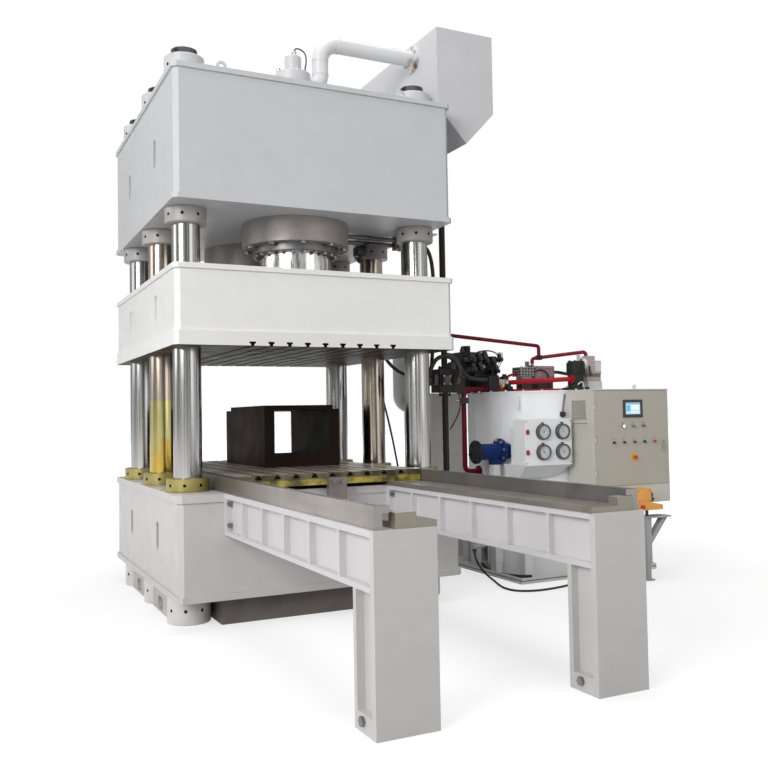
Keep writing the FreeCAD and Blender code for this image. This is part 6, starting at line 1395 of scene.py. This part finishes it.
# %% Pilot unit
cap = start_round("pilot_round_cap", (3.246, -0.44, 2.06), (3.2, -0.44, 2.06), 0.12, 32)
stepped(cap, (-1, 0, 0), (0.012, 0.012), (0.012, -0.008), (0.012, 0.01))
dressed(cap, "white_plastic", smooth=25)
bolt_ring("pilot_cap_bolts", (3.199, -0.44, 2.06), (-1, 0, 0), 0.1, 6, 0.014, 0.009, "dark_bolt")
cover = eased(start_box("pilot_cover", (3.35, -0.494, 1.975), (3.424, -0.484, 2.085)), 0.004)
stepped(cover, (0, -1, 0), (0.01, 0.004))
dressed(cover, "beige_paint", smooth=25)
lever = eased(start_box("pilot_lever", (3.262, -0.5, 1.985), (3.282, -0.484, 2.04)), 0.004)
knob = start_round("knob", (3.272, -0.5, 1.98), (3.26, -0.53, 1.945), 0.03, 14)
dressed(as_one("pilot_lever", [lever, knob]), "black_plastic", smooth=30)

# %% [markdown]
# ## The oil tank
#
# A level gauge with a black foot hangs left of the cabinet, a lug is welded
# to the wall at the left, four weld seams run up the wall, and on top sit a
# filler with a breather cap and a ring of bolts near the rim.

# %% Tank details
TANK_X, TANK_Y, TANK_RADIUS = 2.785, -0.2, 0.7


def on_tank_wall(degrees, out):
    """A place on the drum's wall, or a little outside it."""
    turn = math.radians(degrees)
    return (TANK_X + (TANK_RADIUS + out) * math.cos(turn),
            TANK_Y + (TANK_RADIUS + out) * math.sin(turn))


lug = start_box("tank_lug", (TANK_X + TANK_RADIUS - 0.002, TANK_Y - 0.005, 1.59),
                (TANK_X + TANK_RADIUS + 0.055, TANK_Y + 0.005, 1.73))
stepped(lug, (1, 0, 0), (0.0012, 0.012))
lug = copied(eased(lug, 0.002), turn=math.radians(222), about=(TANK_X, TANK_Y, 0))
bpy.data.objects.remove(bpy.data.objects["tank_lug"])
lug.name = "tank_lug"
dressed(lug, "oil_tank_paint", smooth=25)
seam = weld_bar((TANK_X + TANK_RADIUS, TANK_Y, 0.05), (TANK_X + TANK_RADIUS, TANK_Y, 1.755),
                bead=0.007, cuts=60)
seams = [copied(seam, turn=math.radians(angle), about=(TANK_X, TANK_Y, 0))
         for angle in (207, 262, 30, 120)]
bpy.data.objects.remove(seam)
dressed(as_one("tank_seams", seams), "oil_tank_paint")
gauge_x, gauge_y = on_tank_wall(255.5, 0.012)
tube = start_round("level_tube", (gauge_x, gauge_y, 1.565), (gauge_x + 0.03, gauge_y, 1.735),
                   0.015, 16)
stepped(tube, (0, 0, 1), (0.003, 0.006))
dressed(tube, "bezel_black", smooth=30)
foot = eased(start_box("level_foot", (gauge_x - 0.022, gauge_y - 0.022, 1.525),
                       (gauge_x + 0.022, gauge_y + 0.022, 1.568)), 0.006)
stepped(foot, (0, 0, -1), (0.006, 0.008))
dressed(foot, "black_plastic", smooth=30)
filler = start_round("tank_filler", (2.72, 0.25, 1.774), (2.72, 0.25, 1.84), 0.09, 32)
stepped(filler, (0, 0, 1), (-0.012, 0.012), (0.02, 0.02), (0.012, 0.02))
dressed(eased(filler, 0.002), "black_plastic", smooth=35)
bolt_ring("tank_rim_bolts", (TANK_X, TANK_Y, 1.775), (0, 0, 1), 1.36, 24, 0.02, 0.012,
          "bright_steel")
print("power unit done, pieces", len(PIECES))

# %% [markdown]
# ## The gauges
#
# Each pressure gauge has a black bezel, a white dial with forty-one marks and
# plain numbers, a needle that is a part of the frame, and a glass. A dial could
# be a painted picture, but marks and numbers with their own thin mesh stay
# crisp from close by. They lie behind the needle's blade, which sweeps over
# them without touching. One gauge is made and copied to the other three.

# %% Bezel, dial and glass
GAUGE_PLACES = {"low_left": (2.249, 1.196), "low_right": (2.469, 1.196),
                "high_left": (2.249, 1.384), "high_right": (2.469, 1.384)}
GAUGE_X, GAUGE_Z = GAUGE_PLACES["low_left"]
DIAL_Y = -1.072
bezel = start_round("bezel", (GAUGE_X, -1.052, GAUGE_Z), (GAUGE_X, -1.086, GAUGE_Z), 0.143, 56)
stepped(bezel, (0, -1, 0), (0.004, 0.003), (0.009, -0.002), (0.0005, -0.0155))
back_plate = start_round("back_flange", (GAUGE_X, -1.05, GAUGE_Z), (GAUGE_X, -1.055, GAUGE_Z),
                         0.152, 56)
stepped(back_plate, (0, -1, 0), (0.004, 0.001))
dial = start_round("dial", (GAUGE_X, DIAL_Y + 0.002, GAUGE_Z),
                   (GAUGE_X, DIAL_Y - 0.0001, GAUGE_Z), 0.116, 56)
stepped(dial, (0, -1, 0), (0.002, 0.00004))
glass = start_round("gauge_glass", (GAUGE_X, -1.0815, GAUGE_Z), (GAUGE_X, -1.083, GAUGE_Z),
                    0.116, 48)
stepped(glass, (0, -1, 0), (0.01, 0.0006))

# %% Marks and numbers
FIRST_MARK, LAST_MARK, MARKS = 225, -45, 40     # degrees from the right, anticlockwise
MARK_OUT, NUMBER_OUT = 0.055, 0.031             # from the middle of the dial
INK_Y = DIAL_Y - 0.00022
marks = []
for k in range(MARKS + 1):
    turn = math.radians(FIRST_MARK + (LAST_MARK - FIRST_MARK) * k / MARKS)
    length = 0.011 if k % 8 == 0 else 0.006
    mark = start_box("mark", (GAUGE_X + MARK_OUT - length, INK_Y, GAUGE_Z - 0.0007),
                     (GAUGE_X + MARK_OUT, DIAL_Y - 0.00005, GAUGE_Z + 0.0007))
    stepped(mark, (0, -1, 0), (0.0002, 0.00006))
    marks.append(copied(mark, turn=-turn, axis=(0, 1, 0), about=(GAUGE_X, 0, GAUGE_Z)))
    bpy.data.objects.remove(mark)
for k, number in enumerate(("0", "5", "10", "15", "20", "25")):
    turn = math.radians(FIRST_MARK + (LAST_MARK - FIRST_MARK) * k / 5)
    deselect()
    bpy.ops.object.text_add(location=(GAUGE_X + NUMBER_OUT * math.cos(turn), INK_Y,
                                      GAUGE_Z + NUMBER_OUT * math.sin(turn) - 0.005),
                            rotation=(math.pi / 2, 0, 0))
    text = bpy.context.object
    text.data.body = number
    text.data.size = 0.013
    text.data.align_x = "CENTER"
    text.data.extrude = 0.00005
    bpy.ops.object.convert(target="MESH")
    marks.append(settle(bpy.context.object))
marks = as_one("dial_marks", marks)
tag = eased(start_box("gauge_tag", (GAUGE_X - 0.017, -1.0525, GAUGE_Z + 0.0775),
                      (GAUGE_X + 0.017, -1.0495, GAUGE_Z + 0.0875)), 0.001)
parts = (("bezel", bezel, "bezel_black", "black_plastic"),
         ("back_flange", back_plate, "black_plastic", "black_plastic"),
         ("dial", dial, "dial_white", "panel_paint"),
         ("dial_marks", marks, "ink_black", "needle_black"),
         ("gauge_tag", tag, "ink_black", "black_plastic"),
         ("glass", glass, "lens_glass", "panel_paint"))
for which, (x, z) in GAUGE_PLACES.items():
    for name, part, finish, slot in parts:
        twin = part
        if which != "low_left":
            twin = copied(part, shift=(x - GAUGE_X, 0, z - GAUGE_Z))
        twin.name = which + "_" + name
        dressed(twin, finish, smooth=30)
print("gauges done, pieces", len(PIECES))

# %% Panel lamps
for name, z in (("low_panel_lamp", 1.196), ("high_panel_lamp", 1.384)):
    lens = start_round(name, (2.078, -1.0615, z - 0.008), (2.078, -1.067, z - 0.008), 0.024, 24)
    stepped(lens, (0, -1, 0), (0.003, 0.002), (0.004, 0.0015))
    dressed(lens, "red_lamp")
screw_grid("panel_screws", [(x, -1.05, z) for x in (2.066, 2.565) for z in (1.096, 1.486)],
           (0, -1, 0), 0.014, "bright_steel")

# %% [markdown]
# ## The cabinet
#
# The side vent is a frame with a row of louvres over its shallow recess, with
# a rain ledge under it. On the door, each signal lamp gets a lens in a bright
# rim, each control a collar and a blank legend plate, and each turning knob a
# white mark that turns with it.

# %% Side vent
VENT_LEFT = 2.6413
louvre = start_box("louvre", (VENT_LEFT - 0.004, -1.2, 1.494), (VENT_LEFT + 0.0022, -0.995, 1.502))
stepped(louvre, (-1, 0, 0), (0.0025, 0.0016))
louvres = [louvre] + [copied(louvre, shift=(0, 0, 0.0155 * k)) for k in range(1, 12)]
dressed(as_one("vent_louvres", louvres), "vent_grey", smooth=25)
rails = [start_box("vent_rail", (VENT_LEFT - 0.007, -1.207, z), (VENT_LEFT, -0.988, z + 0.006))
         for z in (1.484, 1.67)]
rails += [start_box("vent_rail", (VENT_LEFT - 0.007, y, 1.484), (VENT_LEFT, y + 0.006, 1.676))
          for y in (-1.207, -0.994)]
ledge = start_box("vent_ledge", (VENT_LEFT - 0.02, -1.212, 1.459), (VENT_LEFT, -0.983, 1.466))
vent = eased(as_one("vent_frame", rails + [ledge]), 0.0015)
dressed(vent, "cabinet_paint", smooth=25)

# %% Signal lamps
DOOR = "cabinet_door"
SIGNAL_Z = 1.421
SIGNALS = (("white_signal", 2.986, "white_lamp"), ("green_signal", 3.1085, "green_lamp"),
           ("red_signal", 3.231, "red_lamp"))
for name, x, finish in SIGNALS:
    rim = start_round(name + "_rim", (x, -1.3005, SIGNAL_Z), (x, -1.318, SIGNAL_Z), 0.0375, 36)
    stepped(rim, (0, -1, 0), (0.003, 0.0015), (0.003, -0.0015))
    dressed(rim, "bright_steel", DOOR, 30)
    lens = start_round(name, (x, -1.317, SIGNAL_Z), (x, -1.323, SIGNAL_Z), 0.027, 32)
    stepped(lens, (0, -1, 0), (0.003, 0.003), (0.004, 0.002), (0.003, 0.0008))
    dressed(lens, finish, DOOR, 50)

# %% Legend plates and collars
CONTROL_X, CONTROL_Z = 2.87, 1.271      # the leftmost control of the row
CONTROL_PITCH = 0.12375
plate = eased(start_box("legend", (CONTROL_X - 0.017, -1.3022, 1.301),
                        (CONTROL_X + 0.017, -1.2995, 1.31)), 0.0008)
plates = [plate] + [copied(plate, shift=(CONTROL_PITCH * k, 0, 0)) for k in range(1, 5)]
plates += [copied(plate, shift=(0.116 + 0.1225 * k, 0, 0.148)) for k in range(3)]
dressed(as_one("legend_plates", plates), "legend_grey", DOOR, 25)
ring = start_round("collar", (CONTROL_X, -1.3005, CONTROL_Z), (CONTROL_X, -1.3092, CONTROL_Z),
                   0.036, 36)
stepped(ring, (0, -1, 0), (0.0028, 0.0008), (0.0018, -0.0009))
collars = [ring] + [copied(ring, shift=(CONTROL_PITCH * k, 0, 0)) for k in range(1, 5)]
dressed(as_one("control_collars", collars), "bright_steel", DOOR, 30)
for k, body in enumerate(("power_selector", "mode_selector", "slide_selector",
                          "table_selector")):
    x = CONTROL_X + CONTROL_PITCH * k
    mark = start_box(body + "_mark", (x - 0.0012, -1.3288, CONTROL_Z),
                     (x + 0.0012, -1.3283, 1.2815))
    stepped(mark, (0, -1, 0), (0.0003, 0.0002))
    dressed(mark, "white_plastic", body, 25)

# %% Screen edge, handle lock and top lip
frame_edge = start_box("screen_edge", (2.9915, -1.3075, 1.5015), (3.2265, -1.3005, 1.6695))
enter(frame_edge)
choose_faces(frame_edge, lambda centre, normal: abs(normal.y) > 0.9)
bpy.ops.mesh.inset(thickness=0.006)
bpy.ops.mesh.bridge_edge_loops()
bpy.ops.object.mode_set(mode="OBJECT")
dressed(eased(frame_edge, 0.0008, 1), "black_plastic", DOOR, 25)
key_lock = start_round("handle_lock", (3.468, -1.3085, 1.189), (3.468, -1.3115, 1.189), 0.018, 24)
stepped(key_lock, (0, -1, 0), (0.003, 0.0008), (0.003, -0.001))
dressed(key_lock, "bright_steel", DOOR, 30)
lip = start_box("cabinet_top_lip", (2.637, -1.3035, 1.7605), (3.552, -1.296, 1.7705))
stepped(lip, (0, 0, 1), (0.001, 0.0005))
dressed(eased(lip, 0.002), "cabinet_paint", smooth=25)
print("cabinet done, pieces", len(PIECES))

# %% [markdown]
# ## Cable entries, terminal box and tray
#
# A cable never leaves a housing through a bare hole: a tapered rubber relief
# guides it. The terminal box gets its lid with four screws, and a ball valve
# with a lever drains the tank into the tray.

# %% Strain reliefs
def strain_relief(name, place, axis, cable, length):
    """A rubber cone in three steps, each a little thinner."""
    place, axis = Vector(place), Vector(axis).normalized()
    cone = start_round(name, place, place + axis * length * 0.3, cable * 2.1, 28)
    enter(cone)
    choose_faces(cone, facing(axis))
    for share in (0.82, 0.86, 0.88):
        bpy.ops.mesh.extrude_region_move(
            TRANSFORM_OT_translate={"value": axis * length * 0.23})
        bpy.ops.transform.resize(value=(share, share, share))
    bpy.ops.object.mode_set(mode="OBJECT")
    dressed(eased(cone, 0.001), "black_rubber", smooth=40)


strain_relief("conduit_relief", (1.855, -0.45, 0.264), (0, 0, -1), CABLE_DIAMETER, 0.045)
strain_relief("cabinet_cable_relief", (2.85, -1.19, 0.693), (0, 0, -1), CABLE_DIAMETER, 0.05)

# %% Terminal box and drain cock
lid = start_box("terminal_lid", (1.97, -0.494, 0.13), (1.977, -0.386, 0.284))
stepped(lid, (-1, 0, 0), (0.006, 0.003))
dressed(eased(lid, 0.0012), "black_plastic", smooth=25)
screw_grid("terminal_screws", [(1.967, y, z) for y in (-0.484, -0.396) for z in (0.14, 0.274)],
           (-1, 0, 0), 0.009, "bright_steel")
COCK_TURN = 196                 # degrees round the drum
cock_x, cock_y = on_tank_wall(COCK_TURN, -0.004)
out_x, out_y = on_tank_wall(COCK_TURN, 0.07)
body = start_round("drain_cock", (cock_x, cock_y, 0.14), (out_x, out_y, 0.14), 0.05, 24)
stepped(body, (out_x - cock_x, out_y - cock_y, 0), (0.006, 0.012), (0.006, -0.004))
lever = eased(start_box("cock_lever", (out_x - 0.01, out_y - 0.05, 0.166),
                        (out_x + 0.01, out_y + 0.05, 0.174)), 0.003)
dressed(as_one("drain_cock", [body, lever]), "black_plastic", smooth=30)
hose("tray_hose", [(2.06, -0.26, 0.08), (2.05, -0.32, 0.05), (2.04, -0.45, 0.03),
                   (2.045, -0.6, 0.03), (2.07, -0.72, 0.03), (2.13, -0.82, 0.03),
                   (2.22, -0.87, 0.03)], 0.03, "black_rubber")

# %% [markdown]
# ## Console
#
# The two-hand console has a lid with screws, collars round its palm buttons
# and a cable socket at its right-hand end.

# %% Console
lid = start_box("console_lid", (2.95, -1.527, 0.73), (3.093, -1.5245, 0.84))
stepped(lid, (0, -1, 0), (0.004, 0.0006))
dressed(eased(lid, 0.001), "orange_paint", smooth=25)
screw_grid("console_screws", [(x, -1.5276, z) for x in (2.958, 3.085) for z in (0.738, 0.832)],
           (0, -1, 0), 0.008, "dark_bolt")
for name, x, out in (("left_palm_collar", 2.94, -1), ("right_palm_collar", 3.103, 1)):
    collar = start_round(name, (x - out * 0.002, -1.485, 0.79), (x + out * 0.006, -1.485, 0.79),
                         0.044, 32)
    stepped(collar, (out, 0, 0), (0.004, 0.001), (0.003, -0.0015))
    dressed(collar, "black_plastic", smooth=30)
socket = eased(start_box("console_socket", (3.103, -1.512, 0.728), (3.14, -1.45, 0.768)), 0.004)
stepped(socket, (1, 0, 0), (0.008, 0.014), (0.004, -0.006))
dressed(socket, "black_plastic", smooth=30)

# %% [markdown]
# ## Slide scrapers
#
# Where each column passes through the slide, a flat scraper ring lies on the
# slide's top. A ring is an open tube with a thick wall, and it rides on the
# slide.

# %% Scraper rings
SLIDE_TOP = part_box("slide")[1][2]
RING_RADIUS, RING_HEIGHT, RING_WALL = 0.155, 0.016, 0.042
deselect()
bpy.ops.mesh.primitive_cylinder_add(vertices=56, radius=RING_RADIUS, depth=RING_HEIGHT,
                                    end_fill_type="NOTHING",
                                    location=(-COLUMN_X, -COLUMN_PITCH,
                                              SLIDE_TOP + RING_HEIGHT / 2))
ring = bpy.context.object
thick = ring.modifiers.new("wall", "SOLIDIFY")
thick.thickness = RING_WALL
thick.offset = -1
bpy.ops.object.modifier_apply(modifier=thick.name)
settle(ring)
eased(ring, 0.002)
scrapers = [ring] + [copied(ring, shift=(COLUMN_X * (a + 1), COLUMN_PITCH * (b + 1), 0))
                     for a in (-1, 1) for b in (-1, 0, 1) if (a, b) != (-1, -1)]
for k, scraper in enumerate(scrapers):
    scraper.name = "scraper_ring_%d" % (k + 1)
    dressed(scraper, "slide_paint", "slide", 30)
print("all pieces", len(PIECES))
